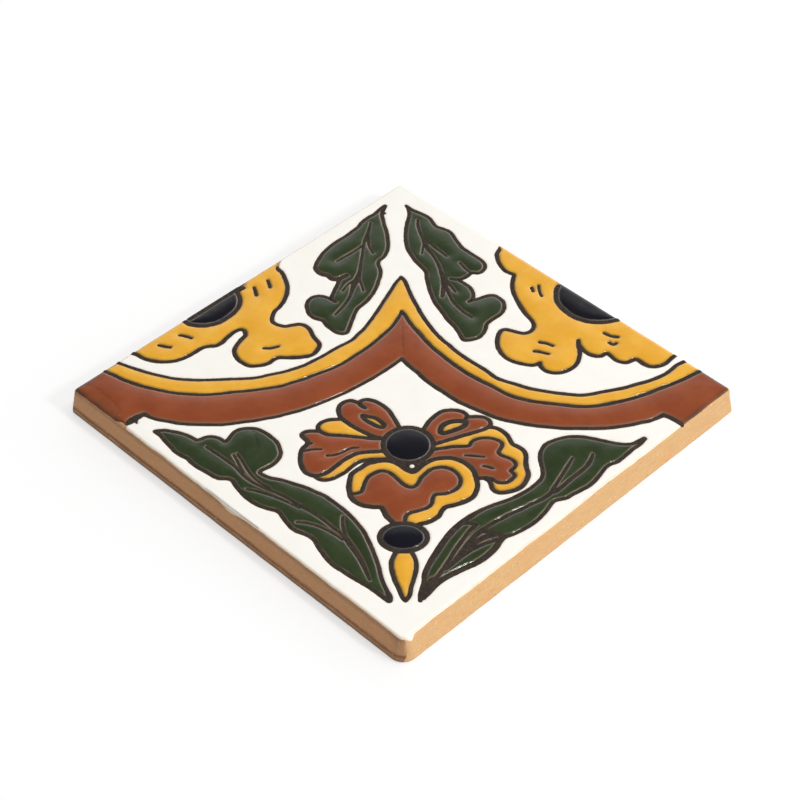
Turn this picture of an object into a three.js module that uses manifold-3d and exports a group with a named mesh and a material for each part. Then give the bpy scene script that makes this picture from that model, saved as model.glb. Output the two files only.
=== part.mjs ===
// A square terracotta wall tile with a raised-line glaze pattern, in millimetres, +Z up.
// It lies on its unglazed bed. The origin is the middle of the bed, and the sides run along X and Y.
// The tile is one fired piece of clay. Its sides lean out towards the bed, its corners and edges are
// rounded, and each pool of coloured glaze stands a little proud of the cream ground, with the flat
// drawn lines between the pools.
import * as THREE from "three";
import { mergeVertices } from "three/addons/utils/BufferGeometryUtils.js";
import Module from "manifold-3d";

// Sizes of the clay body
const FACE_SIDE = 103.6; // the glazed face, edge to edge
const THICKNESS = 7; // bed to the cream ground
const FLARE = 0.8; // how far each side leans out at the bed
const FACE_CORNER_R = 1; // corners of the face, seen from above
const BED_CORNER_R = 1.2; // corners of the bed, seen from above
const FRONT_FACE_R = 1.9; // the front corner of the face, rounder than the others
const FRONT_BED_R = 3.4; // the front corner of the bed, rounder than the others
const FACE_EDGE_R = 0.8; // rounding between the face and the sides
const BED_EDGE_R = 0.5; // rounding between the sides and the bed

// Sizes of the glaze pools
const POOL_RISE = 0.4; // top of a coloured pool above the ground
const LINE_WIDTH = 1.1; // the drawn line between two pools
const POOL_SHOULDER = 0.3; // how far a pool's rim leans in as it rises
const EDGE_BARE = 0.5; // how far the pools stop short of the face's flat
const POOL_ROOT = 0.5; // how deep a pool's solid runs into the clay
const GLAZE_CORNER_R = 0.7; // corners of the area that the pools may cover

// Steps of the round stretches
const CORNER_STEPS = 5;
const EDGE_STEPS = 3;
const RING_STEPS = 28;

// The sharpest corner of an outline that is moved inwards in full, as the cosine of half its turn
const SHARPEST_MITRE = 0.6;

// The drawing was made on a face of this side, so that the outlines below follow the real face.
const DRAWN_SIDE = 104.8;
const PAST_CORNER = 80; // a point on the drawing's diagonal that lies outside the face

// Outlines are in millimetres on the drawn face, turned to its diagonals: the first number runs from the
// left corner to the right corner and the second from the front corner to the back corner.
// Each outline runs along the middle of its drawn line, and past the edge where the edge cuts the field.
const UPPER_LINE = [
  [-66.5, 9.6], [-62.6, 7.6], [-57.5, 5.3], [-52.1, 3.6], [-45.8, 2.9], [-38.8, 3.2], [-32.7, 3.8],
  [-27.1, 5.5], [-22.4, 7.7], [-18.2, 10.8], [-14.5, 14], [-11.4, 16.6], [-9.1, 19.7], [-6.8, 24.1],
  [-4.7, 28.8], [-2.3, 34.3], [-0.2, 38.5], [1.4, 34.1], [3.3, 28.4], [5.6, 22.7], [7.9, 18.3],
  [10.7, 14.6], [14, 10.6], [18.2, 6.7], [21.2, 3.7], [25.7, 1.4], [30.3, -0.4], [35, -1.5],
  [40, -2.1], [44.7, -1.2], [50.3, 0.4], [55.2, 2.3], [59.4, 4.7], [62.6, 7.7], [66.5, 10.4],
];
const MIDDLE_LINE = [
  [-69, 6.8], [-65, 4.3], [-61, 2], [-56.8, 0.2], [-51.7, -1.2], [-44.7, -1.9], [-37.7, -1],
  [-32.7, -0.3], [-27.3, 0.9], [-22.4, 3.1], [-17.7, 5.7], [-13.3, 8.6], [-9.6, 12.1], [-6.5, 15.4],
  [-3.5, 19.2], [-1.2, 23.2], [-0.1, 26.3], [1.6, 22.7], [4.2, 18.1], [7.2, 13.4], [10.5, 9.4],
  [14, 5.7], [18.4, 2.2], [22.2, -0.7], [25.5, -2.9], [30.7, -4.4], [35.3, -5.2], [40, -5.8],
  [44.7, -5.3], [50.3, -3.6], [55.2, -1.5], [59.8, 1], [64.5, 3.7], [69, 6.4],
];
const LOWER_LINE = [
  [-62.3, -13.5], [-60.4, -10.6], [-57.6, -8.1], [-54.2, -9.9], [-49.5, -11.1], [-43.7, -11.5],
  [-37.8, -11.2], [-32.5, -10.2], [-27.7, -8.9], [-23, -7.1], [-17.4, -4.1], [-12.7, -1.2],
  [-8.4, 2.1], [-5.1, 4.9], [-1.9, 8], [-0.1, 10], [2.1, 6.8], [5.1, 3], [8.9, -0.8], [12.9, -4.5],
  [17.6, -7.5], [22.5, -10.1], [27.5, -11.5], [32.4, -12.3], [38.1, -12.7], [44.8, -12.7],
  [50, -11.8], [54.9, -10.3], [57.9, -8.6], [60.4, -10.2], [62.5, -14],
];
const LEFT_FLOWER = [
  [-29.2, 46], [-29.5, 41.4], [-28.2, 39.4], [-27.2, 36.2], [-27, 33], [-28.2, 28.8], [-29.9, 25.2],
  [-30.2, 23.2], [-29.4, 21.8], [-27.1, 21], [-24, 21.7], [-22.3, 21.1], [-21.3, 19.7], [-20.6, 17.7],
  [-19.1, 15.1], [-19.3, 13], [-20.9, 11.2], [-23.3, 10.4], [-28, 10.3], [-30.3, 8.5], [-33.1, 7.6],
  [-35.9, 8.2], [-37.5, 9.9], [-38.4, 12.4], [-37.9, 14.6], [-36.2, 17.9], [-36.4, 19.3],
  [-37.3, 19.9], [-39.2, 18.5], [-41.4, 15.3], [-43.6, 14.2], [-45.8, 13.6], [-48.6, 11],
  [-51.5, 9.3], [-54.9, 8.9], [-58, 9.6], [-60.8, 11.5], [-63, 12.2], [-52, 23.5], [-50.4, 22.7],
  [-49.2, 21.6], [-46.6, 21.1], [-43.3, 21.8], [-40.7, 23.6], [-38.8, 26.2], [-37.9, 29.2],
  [-38, 31.8], [-38.4, 33.6], [-39.5, 37],
];
const LEFT_EYE = [
  [-52, 23.5], [-50.4, 22.7], [-49.2, 21.6], [-46.6, 21.1], [-43.3, 21.8], [-40.7, 23.6],
  [-38.8, 26.2], [-37.9, 29.2], [-38, 31.8], [-38.4, 33.6], [-41.5, 35],
];
const RIGHT_FLOWER = [
  [25, 51], [23.3, 48.2], [22.7, 46.4], [23, 43.9], [24.3, 40.9], [26.4, 39.2], [26.1, 34.6],
  [27, 30], [28.7, 25.3], [30.3, 22], [30.1, 20], [28.2, 18.5], [26, 19], [24, 19.8], [22.8, 19.4],
  [21.9, 16.7], [22, 13.4], [23.6, 10.3], [26, 8.5], [30, 7.8], [31.4, 8.2], [32.4, 6], [34.6, 5.1],
  [37.3, 5.8], [39.5, 7.9], [40.5, 10.9], [40.5, 15.5], [41.3, 13.2], [42.8, 11.2], [44.4, 10.7],
  [46.8, 11.7], [48.4, 9.6], [50.6, 8.6], [53.1, 9.6], [55.2, 7.7], [57.5, 7.2], [60, 8.4],
  [61.8, 10.7], [64, 12], [52, 24.5], [50.2, 23], [47, 22.3], [44, 22.3], [40.7, 23.6], [38.2, 25.8],
  [36.5, 28.9], [36, 31.5], [36.6, 34.4], [37.5, 38],
];
const RIGHT_EYE = [
  [52, 24.5], [50.2, 23], [47, 22.3], [44, 22.3], [40.7, 23.6], [38.2, 25.8], [36.5, 28.9],
  [36, 31.5], [36.6, 34.4], [38, 38],
];
const BACK_LEFT_LEAF = [
  [-4.2, 64.4], [-6.6, 61.7], [-9.7, 58.6], [-12, 55.3], [-15, 52.1], [-17.7, 48.9], [-19.5, 45.9],
  [-20.6, 42], [-19.5, 39.7], [-17.6, 38.8], [-16.2, 37.3], [-14.3, 37.4], [-15.9, 33.6],
  [-16.8, 30.5], [-19.6, 31.6], [-21.6, 30.6], [-22.3, 28.2], [-21.7, 25.4], [-20.4, 23.8],
  [-18.2, 22.7], [-16.9, 20.4], [-14, 18.4], [-12.5, 19.1], [-11.8, 22.3], [-11, 25.3],
  [-9.1, 28.6], [-7.3, 31.5], [-5.9, 35], [-5.1, 39.9], [-5.6, 43.5], [-4, 46.3], [-3.3, 49.9],
  [-3.9, 56], [-4.6, 60.7],
];
const BACK_RIGHT_LEAF = [
  [1, 65], [1.5, 61.6], [1, 56.5], [1, 51.5], [1.8, 47.3], [4.3, 42.5], [5.8, 39.7], [6.1, 36.2],
  [6.9, 32], [8.6, 27.2], [10.7, 23], [12.9, 19], [13.9, 16.4], [16.3, 16.4], [18.4, 18],
  [19.5, 21.3], [21.7, 23.9], [23.7, 26.7], [23.7, 29.4], [21.8, 31.8], [19.3, 31.2], [16.6, 30.3],
  [16.6, 32.9], [14.9, 36], [13.3, 37.5], [14.5, 37.8], [16.4, 39.7], [18.3, 39.8], [19.8, 41.8],
  [19.3, 44], [16.5, 47], [14, 50], [12.5, 53.6], [11.2, 55.5], [8.4, 57], [7, 59.7], [5, 61.9],
];
const FRONT_LEFT_LEAF = [
  [-54.6, -13.7], [-51.1, -13.5], [-47.6, -14.7], [-45.1, -16.3], [-43, -15.3], [-41.1, -15.3],
  [-38.8, -16.8], [-37.4, -14.3], [-35.3, -12.8], [-32, -12.9], [-29, -15.2], [-27, -18.5],
  [-26.7, -21.2], [-28.2, -23.9], [-31, -26.2], [-28.6, -27.8], [-23.8, -29.4], [-18.7, -32.1],
  [-14.5, -35.4], [-11, -39.2], [-8.2, -43.8], [-6.6, -48.2], [-5, -54], [-3.9, -58.3],
  [-2.8, -62.8], [-6.3, -60.1], [-11.2, -56.2], [-15, -52.7], [-17.7, -48.5], [-19.2, -45.6],
  [-22.9, -43.3], [-25.2, -40.2], [-26.8, -37.8], [-30.6, -36.2], [-33.8, -33.4], [-36.4, -29.2],
  [-38.7, -28.2], [-41.8, -26.7], [-45.2, -24.1], [-47.5, -21.8], [-50.2, -19.3], [-52.6, -15.9],
];
const FRONT_RIGHT_LEAF = [
  [51.4, -17.3], [47.8, -17.5], [45.3, -17], [41.6, -15.8], [38, -15.3], [34.3, -16], [31.3, -17.8],
  [30, -20.9], [30.3, -25.5], [29.7, -28.6], [27.4, -31.1], [23.3, -34.1], [18.4, -36.5],
  [14.2, -39.4], [10.5, -43], [7.7, -47.7], [5.1, -53], [4.1, -57.3], [3.9, -60.2], [5.8, -59.7],
  [8.6, -57.2], [13.5, -54.2], [18.3, -50.4], [20.7, -46.3], [24.3, -43.9], [28, -41],
  [30.6, -37.7], [32.7, -34.8], [36.2, -33], [40, -30.4], [42.7, -26.8], [44.8, -24.2],
  [48, -21.9], [50.2, -19.4],
];
const PETAL_TOP_LEFT = [
  [-3.6, -15.1], [-0.8, -12.4], [-1.6, -10], [-3.5, -6.4], [-6.2, -4.1], [-8.6, -3.5], [-9.8, -4.6],
  [-11.6, -3.8], [-13.6, -4.8], [-14.3, -7], [-13.5, -9.5], [-10.8, -12.2], [-7.4, -14.7],
];
const PETAL_UPPER_LEFT = [
  [-8.4, -14.9], [-11.8, -12.1], [-14, -9.9], [-16.7, -10.1], [-18.5, -11.5], [-18.5, -13.2],
  [-16.3, -14.6], [-12.5, -15],
];
const PETAL_LOWER_LEFT = [
  [-5, -16], [-13, -15.1], [-18.5, -13.6], [-21.2, -13.7], [-22.2, -14.8], [-21, -17], [-22.2, -20],
  [-22.2, -23.5], [-20.8, -26.4], [-19, -27.3], [-16.4, -26.3], [-13, -22.7], [-10.2, -20.6],
  [-5, -19.9],
];
const PETAL_TOP_RIGHT = [
  [6.6, -16.8], [5.1, -13.4], [5.5, -11], [7.6, -8.3], [10.6, -6.9], [13.2, -7.3], [14.4, -9.1],
  [17.2, -9], [19.2, -10.1], [19.4, -11.7], [17.4, -13.3], [12.6, -15.3],
];
const PETAL_LOWER_RIGHT = [
  [7.4, -18.2], [13, -15.2], [19.4, -12.3], [22, -13.6], [23.7, -16.5], [26, -19], [26.9, -22],
  [27.1, -26.5], [25.8, -30.2], [22.6, -32.2], [20, -31.4], [18.8, -28.8], [16.9, -27.9],
  [15, -25], [12.2, -22.5], [8.7, -21.8], [6.7, -21.9],
];
const HEART = [
  [2.1, -26.1], [-0.6, -24.1], [-3.2, -22.7], [-6.4, -23], [-9.2, -25], [-11.2, -27.2],
  [-11.6, -31], [-10.6, -34.4], [-7.9, -36.3], [-4.7, -36.6], [-3.4, -39.6], [-1.2, -41],
  [3.5, -41.2], [6.5, -40.2], [8.3, -37.6], [10.5, -36.2], [13.8, -34.6], [15.8, -31.7],
  [15.9, -27.9], [14.6, -24.6], [12, -22.4], [8.7, -21.9], [5.6, -22.9],
];
const TEARDROP = [
  [-1.2, -49.8], [-2.4, -51.9], [-2.4, -54.6], [-1.1, -59], [0.5, -62.4], [1.7, -59.2],
  [2.8, -54.6], [2.6, -51.7], [1.5, -49.9],
];
const DISC = { middle: [1.2, -17.9], across: 5.65, along: 5.6 };
const OVAL = { middle: [0.1, -45.4], across: 5.1, along: 3.95 };

const YELLOW_BAND = [...UPPER_LINE, ...[...MIDDLE_LINE].reverse()];
const RED_BAND = [
  ...MIDDLE_LINE, [PAST_CORNER, 0], ...[...LOWER_LINE].reverse(), [-PAST_CORNER, 0],
];

// Points of an ellipse, anticlockwise.
function ringPoints({ middle, across, along }) {
  return Array.from({ length: RING_STEPS }, (_, i) => {
    const turn = (2 * Math.PI * i) / RING_STEPS;
    return [middle[0] + across * Math.cos(turn), middle[1] + along * Math.sin(turn)];
  });
}

const FIELDS = [
  YELLOW_BAND, RED_BAND, LEFT_FLOWER, LEFT_EYE, RIGHT_FLOWER, RIGHT_EYE, BACK_LEFT_LEAF,
  BACK_RIGHT_LEAF, FRONT_LEFT_LEAF, FRONT_RIGHT_LEAF, PETAL_TOP_LEFT, PETAL_UPPER_LEFT,
  PETAL_LOWER_LEFT, PETAL_TOP_RIGHT, PETAL_LOWER_RIGHT, HEART, TEARDROP, ringPoints(DISC),
  ringPoints(OVAL),
];

const wasm = await Module();
wasm.setup();

// A closed three.js geometry as a solid that can be joined and cut.
function solidOf(geometry) {
  const bare = geometry.clone();
  bare.deleteAttribute("normal");
  bare.deleteAttribute("uv");
  const merged = mergeVertices(bare, 1e-4);
  return new wasm.Manifold(
    new wasm.Mesh({
      numProp: 3,
      vertProperties: merged.attributes.position.array,
      triVerts: new Uint32Array(merged.index.array),
    }),
  );
}

// A solid as a three.js geometry.
function geometryOf(solid) {
  const mesh = solid.getMesh();
  const points = new Float32Array(mesh.numVert * 3);
  for (let i = 0; i < mesh.numVert; i += 1) {
    points.set(mesh.vertProperties.subarray(i * mesh.numProp, i * mesh.numProp + 3), i * 3);
  }
  const geometry = new THREE.BufferGeometry();
  geometry.setAttribute("position", new THREE.BufferAttribute(points, 3));
  geometry.setIndex(new THREE.BufferAttribute(mesh.triVerts, 1));
  geometry.computeVertexNormals();
  return geometry;
}

// A square with round corners, anticlockwise from above. The last one is the front corner.
function roundedSquare(half, others, front) {
  const points = [];
  for (const [corner, radius] of [others, others, others, front].entries()) {
    const start = (corner * Math.PI) / 2;
    const cx = (half - radius) * Math.sign(Math.cos(start + Math.PI / 4));
    const cy = (half - radius) * Math.sign(Math.sin(start + Math.PI / 4));
    for (let i = 0; i <= CORNER_STEPS; i += 1) {
      const turn = start + (i * Math.PI) / (2 * CORNER_STEPS);
      points.push([cx + radius * Math.cos(turn), cy + radius * Math.sin(turn)]);
    }
  }
  return points;
}

// A closed solid through rings that have the same number of points, lowest ring first.
function loft(rings) {
  const count = rings[0].points.length;
  const positions = rings.flatMap(({ points, z }) => points.flatMap(([x, y]) => [x, y, z]));
  const index = [];
  for (let level = 0; level + 1 < rings.length; level += 1) {
    for (let i = 0; i < count; i += 1) {
      const a = level * count + i;
      const b = level * count + ((i + 1) % count);
      index.push(a, b, b + count, a, b + count, a + count);
    }
  }
  const capOf = (points) =>
    THREE.ShapeUtils.triangulateShape(points.map(([x, y]) => new THREE.Vector2(x, y)), []);
  const top = (rings.length - 1) * count;
  capOf(rings[0].points).forEach(([a, b, c]) => index.push(a, c, b));
  capOf(rings.at(-1).points).forEach(([a, b, c]) => index.push(top + a, top + b, top + c));
  const geometry = new THREE.BufferGeometry();
  geometry.setAttribute("position", new THREE.Float32BufferAttribute(positions, 3));
  geometry.setIndex(index);
  return geometry;
}

// The clay body: rounded bed edge, leaning sides, rounded face edge.
function clayBody() {
  const faceHalf = FACE_SIDE / 2;
  const bedHalf = faceHalf + FLARE;
  const rings = [];
  for (let i = 0; i <= EDGE_STEPS; i += 1) {
    const turn = (i * Math.PI) / (2 * EDGE_STEPS);
    const tuck = BED_EDGE_R * (1 - Math.sin(turn));
    rings.push({
      points: roundedSquare(bedHalf - tuck, BED_CORNER_R - tuck, FRONT_BED_R - tuck),
      z: BED_EDGE_R * (1 - Math.cos(turn)),
    });
  }
  for (let i = 0; i <= EDGE_STEPS; i += 1) {
    const turn = (i * Math.PI) / (2 * EDGE_STEPS);
    const tuck = FACE_EDGE_R * (1 - Math.cos(turn));
    rings.push({
      points: roundedSquare(faceHalf - tuck, FACE_CORNER_R - tuck, FRONT_FACE_R - tuck),
      z: THICKNESS - FACE_EDGE_R * (1 - Math.sin(turn)),
    });
  }
  return loft(rings);
}

// From the diagonal drawing to the face of the tile.
function onFace([across, along]) {
  const size = FACE_SIDE / DRAWN_SIDE / Math.SQRT2;
  return [(across - along) * size, (across + along) * size];
}

// An outline moved inwards by a distance, corner by corner. The outline runs anticlockwise.
function inset(points, distance) {
  const count = points.length;
  return points.map(([x, y], i) => {
    const [ax, ay] = points[(i + count - 1) % count];
    const [bx, by] = points[(i + 1) % count];
    const before = new THREE.Vector2(x - ax, y - ay).normalize();
    const after = new THREE.Vector2(bx - x, by - y).normalize();
    const inwards = new THREE.Vector2(-before.y - after.y, before.x + after.x).normalize();
    const lean = inwards.dot(new THREE.Vector2(-before.y, before.x));
    const reach = distance / Math.max(SHARPEST_MITRE, lean);
    return [x + inwards.x * reach, y + inwards.y * reach];
  });
}

function anticlockwise(points) {
  const flat = points.map(([x, y]) => new THREE.Vector2(x, y));
  return THREE.ShapeUtils.isClockWise(flat) ? [...points].reverse() : points;
}

// One pool of glaze: upright below the ground, then a rim that leans in to its flat top.
function pool(outline) {
  const onTile = anticlockwise(outline.map(onFace));
  const foot = inset(onTile, LINE_WIDTH / 2);
  const crown = inset(foot, POOL_SHOULDER);
  return solidOf(
    loft([
      { points: foot, z: THICKNESS - POOL_ROOT },
      { points: foot, z: THICKNESS },
      { points: crown, z: THICKNESS + POOL_RISE },
    ]),
  );
}

// The part of the face that glaze pools may cover.
function glazedArea() {
  const half = FACE_SIDE / 2 - FACE_EDGE_R - EDGE_BARE;
  const points = roundedSquare(half, GLAZE_CORNER_R, GLAZE_CORNER_R);
  return solidOf(
    loft([
      { points, z: THICKNESS - POOL_ROOT },
      { points: inset(points, POOL_SHOULDER), z: THICKNESS + POOL_RISE },
    ]),
  );
}

function glazedTile() {
  const area = glazedArea();
  return FIELDS.reduce((tile, outline) => tile.add(pool(outline).intersect(area)), solidOf(clayBody()));
}

const glaze = new THREE.MeshStandardMaterial({ color: 0xf4ecdc, roughness: 0.2, metalness: 0 });
const tile = new THREE.Mesh(geometryOf(glazedTile()), glaze);
tile.name = "glazed_tile";

const part = new THREE.Group();
part.add(tile);

export default part;
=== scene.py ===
# %% [markdown]
# # A glazed terracotta tile
# A real tile of this kind is made in three passes. A slab of clay is pressed and fired. The drawing is
# trailed onto it with a dark, greasy line. Then each cell of the drawing is flooded with coloured glaze,
# which the grease holds back, so that every colour ends as a small raised pool with a steep round rim.
# This notebook makes the tile in the same order: slab, drawn lines, pools of glaze, and then finishes.

# %% Load the frame
import math

import bpy
import numpy as np
from mathutils import Matrix, Vector
from mathutils.geometry import delaunay_2d_cdt


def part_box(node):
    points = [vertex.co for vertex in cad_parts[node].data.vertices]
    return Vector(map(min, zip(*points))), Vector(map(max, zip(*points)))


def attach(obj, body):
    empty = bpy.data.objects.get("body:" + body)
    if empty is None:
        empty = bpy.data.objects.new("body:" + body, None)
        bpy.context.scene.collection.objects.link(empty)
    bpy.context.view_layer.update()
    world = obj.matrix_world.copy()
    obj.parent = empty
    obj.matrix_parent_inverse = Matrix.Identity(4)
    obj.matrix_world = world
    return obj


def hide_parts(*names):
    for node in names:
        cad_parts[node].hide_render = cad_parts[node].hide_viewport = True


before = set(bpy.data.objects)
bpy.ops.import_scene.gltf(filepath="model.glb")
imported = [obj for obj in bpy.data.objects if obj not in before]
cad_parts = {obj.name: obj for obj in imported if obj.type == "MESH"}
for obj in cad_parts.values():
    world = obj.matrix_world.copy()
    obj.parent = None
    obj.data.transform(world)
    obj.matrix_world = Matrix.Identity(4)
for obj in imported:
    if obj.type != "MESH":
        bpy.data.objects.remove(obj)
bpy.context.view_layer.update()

# %% [markdown]
# ## Sizes
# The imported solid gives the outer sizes. Only the few sizes that a box can't show are named here. All
# lengths in the notebook are millimetres, and `MM` turns them into Blender's metres at the last moment.

# %% Sizes of the tile
MM = 0.001
low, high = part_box("glazed_tile")
BED_HALF = high.x / MM
FLARE = 0.8  # how far each side leans out at the bed
FACE_HALF = BED_HALF - FLARE
GROUND = 7.0  # bed to the cream ground
FACE_CORNER_R = 1.0
BED_CORNER_R = 1.2
FRONT_FACE_R = 1.9  # the front corner is rounder than the others
FRONT_BED_R = 3.4
FACE_EDGE_R = 0.8
BED_EDGE_R = 0.5
DRAWN_HALF = 52.4  # half the side of the face that the drawing and the creases were measured on
SEED = 7
print(f"face {2 * FACE_HALF:.1f} mm, bed {2 * BED_HALF:.1f} mm, pools up to {high.z / MM:.1f} mm")

# %% [markdown]
# ## Camera
# The photograph looks down on the tile along its diagonal with a long lens. The camera comes first, so that
# every later step can be judged from the right place.

# %% Camera
CAMERA_AZIMUTH = 44.845
CAMERA_ELEVATION = 43.865
CAMERA_ROLL = 0.059
CAMERA_DISTANCE = 511.0
CAMERA_LENS = 103.51
FRAME_SHIFT = (-0.51, -2.548)  # how far the aim lies right of and above the middle of the ground


def camera_axes(azimuth, elevation):
    """Right, up and backward directions of a camera that looks at the tile."""
    az, el = math.radians(azimuth), math.radians(elevation)
    back = Vector((math.sin(az) * math.cos(el), -math.cos(az) * math.cos(el), math.sin(el)))
    right = Vector((math.cos(az), math.sin(az), 0))
    return right, back.cross(right), back


right, up, back = camera_axes(CAMERA_AZIMUTH, CAMERA_ELEVATION)
aim = Vector((0, 0, GROUND)) + right * FRAME_SHIFT[0] + up * FRAME_SHIFT[1]
turn = Matrix.Rotation(math.radians(CAMERA_ROLL), 4, "Z")
axes = Matrix((right, up, back)).transposed().to_4x4()
camera_data = bpy.data.cameras.new("camera")
camera_data.lens = CAMERA_LENS
camera_data.sensor_width = 36
camera_data.clip_start = 0.01
camera = bpy.data.objects.new("camera", camera_data)
camera.matrix_world = Matrix.Translation((aim + back * CAMERA_DISTANCE) * MM) @ axes @ turn
bpy.context.scene.collection.objects.link(camera)
bpy.context.scene.camera = camera

# %% [markdown]
# ## The drawing
# The drawing is trailed by hand, so it is kept as what a hand does: strokes, each a list of places that
# the nozzle passes, in millimetres along the tile's two diagonals. The first number runs from the left
# corner to the right corner, the second from the front corner to the back corner. A third number is the
# line's width where it differs from the stroke's own. A sharp turn ends one stroke and starts the next,
# and the short gaps where glaze alone meets the edge are closed by a hairline.

# %% The nozzle
HAIR = 0.34  # a hairline keeps two glazes apart, but leaves no bead
THINNEST = 0.4
FIRED_SHARE = 0.79  # a line shrinks a little when its grease burns away
strokes = []


def draw(width, *points):
    """One stroke of the nozzle, as (across, along, width) places."""
    wet = [(*p, width)[:3] for p in points]
    strokes.append([(u, v, w if w <= HAIR else max(THINNEST, w * FIRED_SHARE)) for u, v, w in wet])


# %% Strokes of the bands
draw(0.92, (-66.5, 9.7), (-62.6, 7.6), (-57.5, 5.3), (-54.9, 4.4), (-52.1, 3.55), (-49.3, 3.1),
     (-45.8, 2.9), (-42.3, 3), (-38.8, 3.2), (-35.2, 3.4), (-32.7, 3.75), (-30, 4.65), (-27.1, 5.5),
     (-25, 6.4), (-22.4, 7.7), (-20.1, 9.4), (-18.2, 10.8), (-16.3, 12.5), (-14.5, 14), (-12.6, 15.4),
     (-11.4, 16.4), (-10.3, 18.1), (-9.1, 19.7), (-7.9, 21.8), (-6.8, 24.1), (-5.6, 26.7),
     (-4.7, 28.8), (-3.5, 31.5), (-2.3, 34.3), (-1.4, 36.4), (-0.2, 38.3))
draw(1.1, (-0.2, 38.3), (0.7, 36.9), (1.5, 34), (2.4, 31), (3.4, 28.2), (4.55, 25.1), (5.6, 22.7),
     (6.8, 20.3), (7.9, 18.3), (9.3, 16.2), (10.7, 14.6), (12.1, 12.7), (14, 10.6), (16.1, 8.6),
     (18.2, 6.75), (19.8, 5.1), (21.2, 3.6), (23.3, 2.4), (25.7, 1.4), (28, 0.3), (30.3, -0.4),
     (32.7, -1), (35, -1.5), (37.7, -1.9), (40, -2.15), (42.3, -1.8), (44.7, -1.1), (47.5, -0.4),
     (50.3, 0.4), (52.8, 1.45), (55.2, 2.3), (57.3, 3.4), (59.4, 4.7), (61, 6.2), (62.6, 7.9),
     (66.2, 10.1))
draw(0.92, (-69.5, 7.1), (-65, 4.4), (-63.3, 3.2), (-61, 2), (-59.1, 1.1), (-56.8, 0.3), (-54.5, -0.4),
     (-51.7, -1.2), (-48.2, -1.7), (-44.7, -1.9), (-41.2, -1.6), (-37.7, -1), (-34.8, -0.65),
     (-32.7, -0.3), (-30.3, 0.2), (-27.3, 0.9), (-25, 2), (-22.4, 3.1), (-20.1, 4.4), (-17.7, 5.7),
     (-15.4, 7.1), (-13.3, 8.6), (-11.4, 10.4), (-9.6, 12.1), (-7.9, 13.8), (-6.5, 15.4),
     (-4.9, 17.4), (-3.5, 19.2), (-2.1, 21.3), (-1.2, 23.2), (-0.5, 24.8), (-0.1, 26.2))
draw(1.1, (-0.1, 26.2), (0.7, 24.8), (1.6, 22.7), (2.8, 20.4), (4.2, 18.1), (5.6, 15.7), (7.2, 13.4),
     (8.9, 11.3), (10.5, 9.4), (12.1, 7.6), (14, 5.7), (16.1, 3.8), (18.3, 2.1), (20.2, 0.8),
     (22.2, -0.8), (23.8, -2), (25.5, -2.9), (28.1, -3.8), (30.7, -4.4), (33, -4.8), (35.3, -5.2),
     (37.7, -5.6), (40, -5.8), (42.3, -5.7), (44.7, -5.3), (47.5, -4.5), (50.3, -3.6), (52.8, -2.6),
     (55.2, -1.5), (57.5, -0.2), (59.8, 1), (62.2, 2.3), (64.5, 3.7), (66.1, 4.8), (69.5, 6.9))
draw(1.7, (-60.5, -10.7, 1.8), (-59.7, -9.9, 2.1), (-58.8, -9.1, 1.8), (-57.5, -8.1, 1.2))
draw(0.5, (-59, -10.2), (-58.8, -11, 0.4))
draw(HAIR, (-67.6, 6), (-66.5, 7), (-65.3, 8.2))
draw(0.9, (-57.5, -8.1, 1.2), (-55.8, -9.2), (-54.2, -9.9), (-51.8, -10.5), (-49.5, -11.1),
     (-46.9, -11.4), (-43.7, -11.5), (-40.2, -11.5), (-37.8, -11.2), (-35.5, -10.7), (-32.5, -10.2),
     (-30.1, -9.5), (-27.7, -8.9), (-25.2, -7.9), (-23, -7.1), (-20, -5.6), (-17.4, -4.1),
     (-15.1, -2.7), (-12.7, -1.2), (-10.5, 0.5), (-8.4, 2.1), (-6.8, 3.4), (-5.1, 4.9), (-3.5, 6.4),
     (-1.9, 8), (-0.1, 9.9))
draw(1.1, (-0.1, 9.9), (0.7, 8.7), (2.1, 6.8), (3.5, 5.2), (5.1, 3), (7, 0.9), (8.9, -0.8),
     (10.8, -2.7), (12.9, -4.5), (15.3, -6.05), (17.6, -7.5), (19.9, -8.9), (22.5, -10.1),
     (25, -10.8), (27.5, -11.5), (30, -12), (32.4, -12.3), (35, -12.7), (38.1, -12.75),
     (41.3, -12.8), (44.8, -12.7), (47.4, -12.3), (50, -11.8), (52.3, -11.1), (54.9, -10.3),
     (56.7, -9.4), (57.9, -8.6, 1.5))
draw(1.3, (57.9, -8.6), (59.1, -9.2), (60.4, -10.2), (61.6, -11.3))
draw(HAIR, (61.2, -11), (63.5, -13.2))
draw(HAIR, (-60.4, -11), (-62.7, -13.6))
print(len(strokes), "strokes in the bands")

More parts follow.
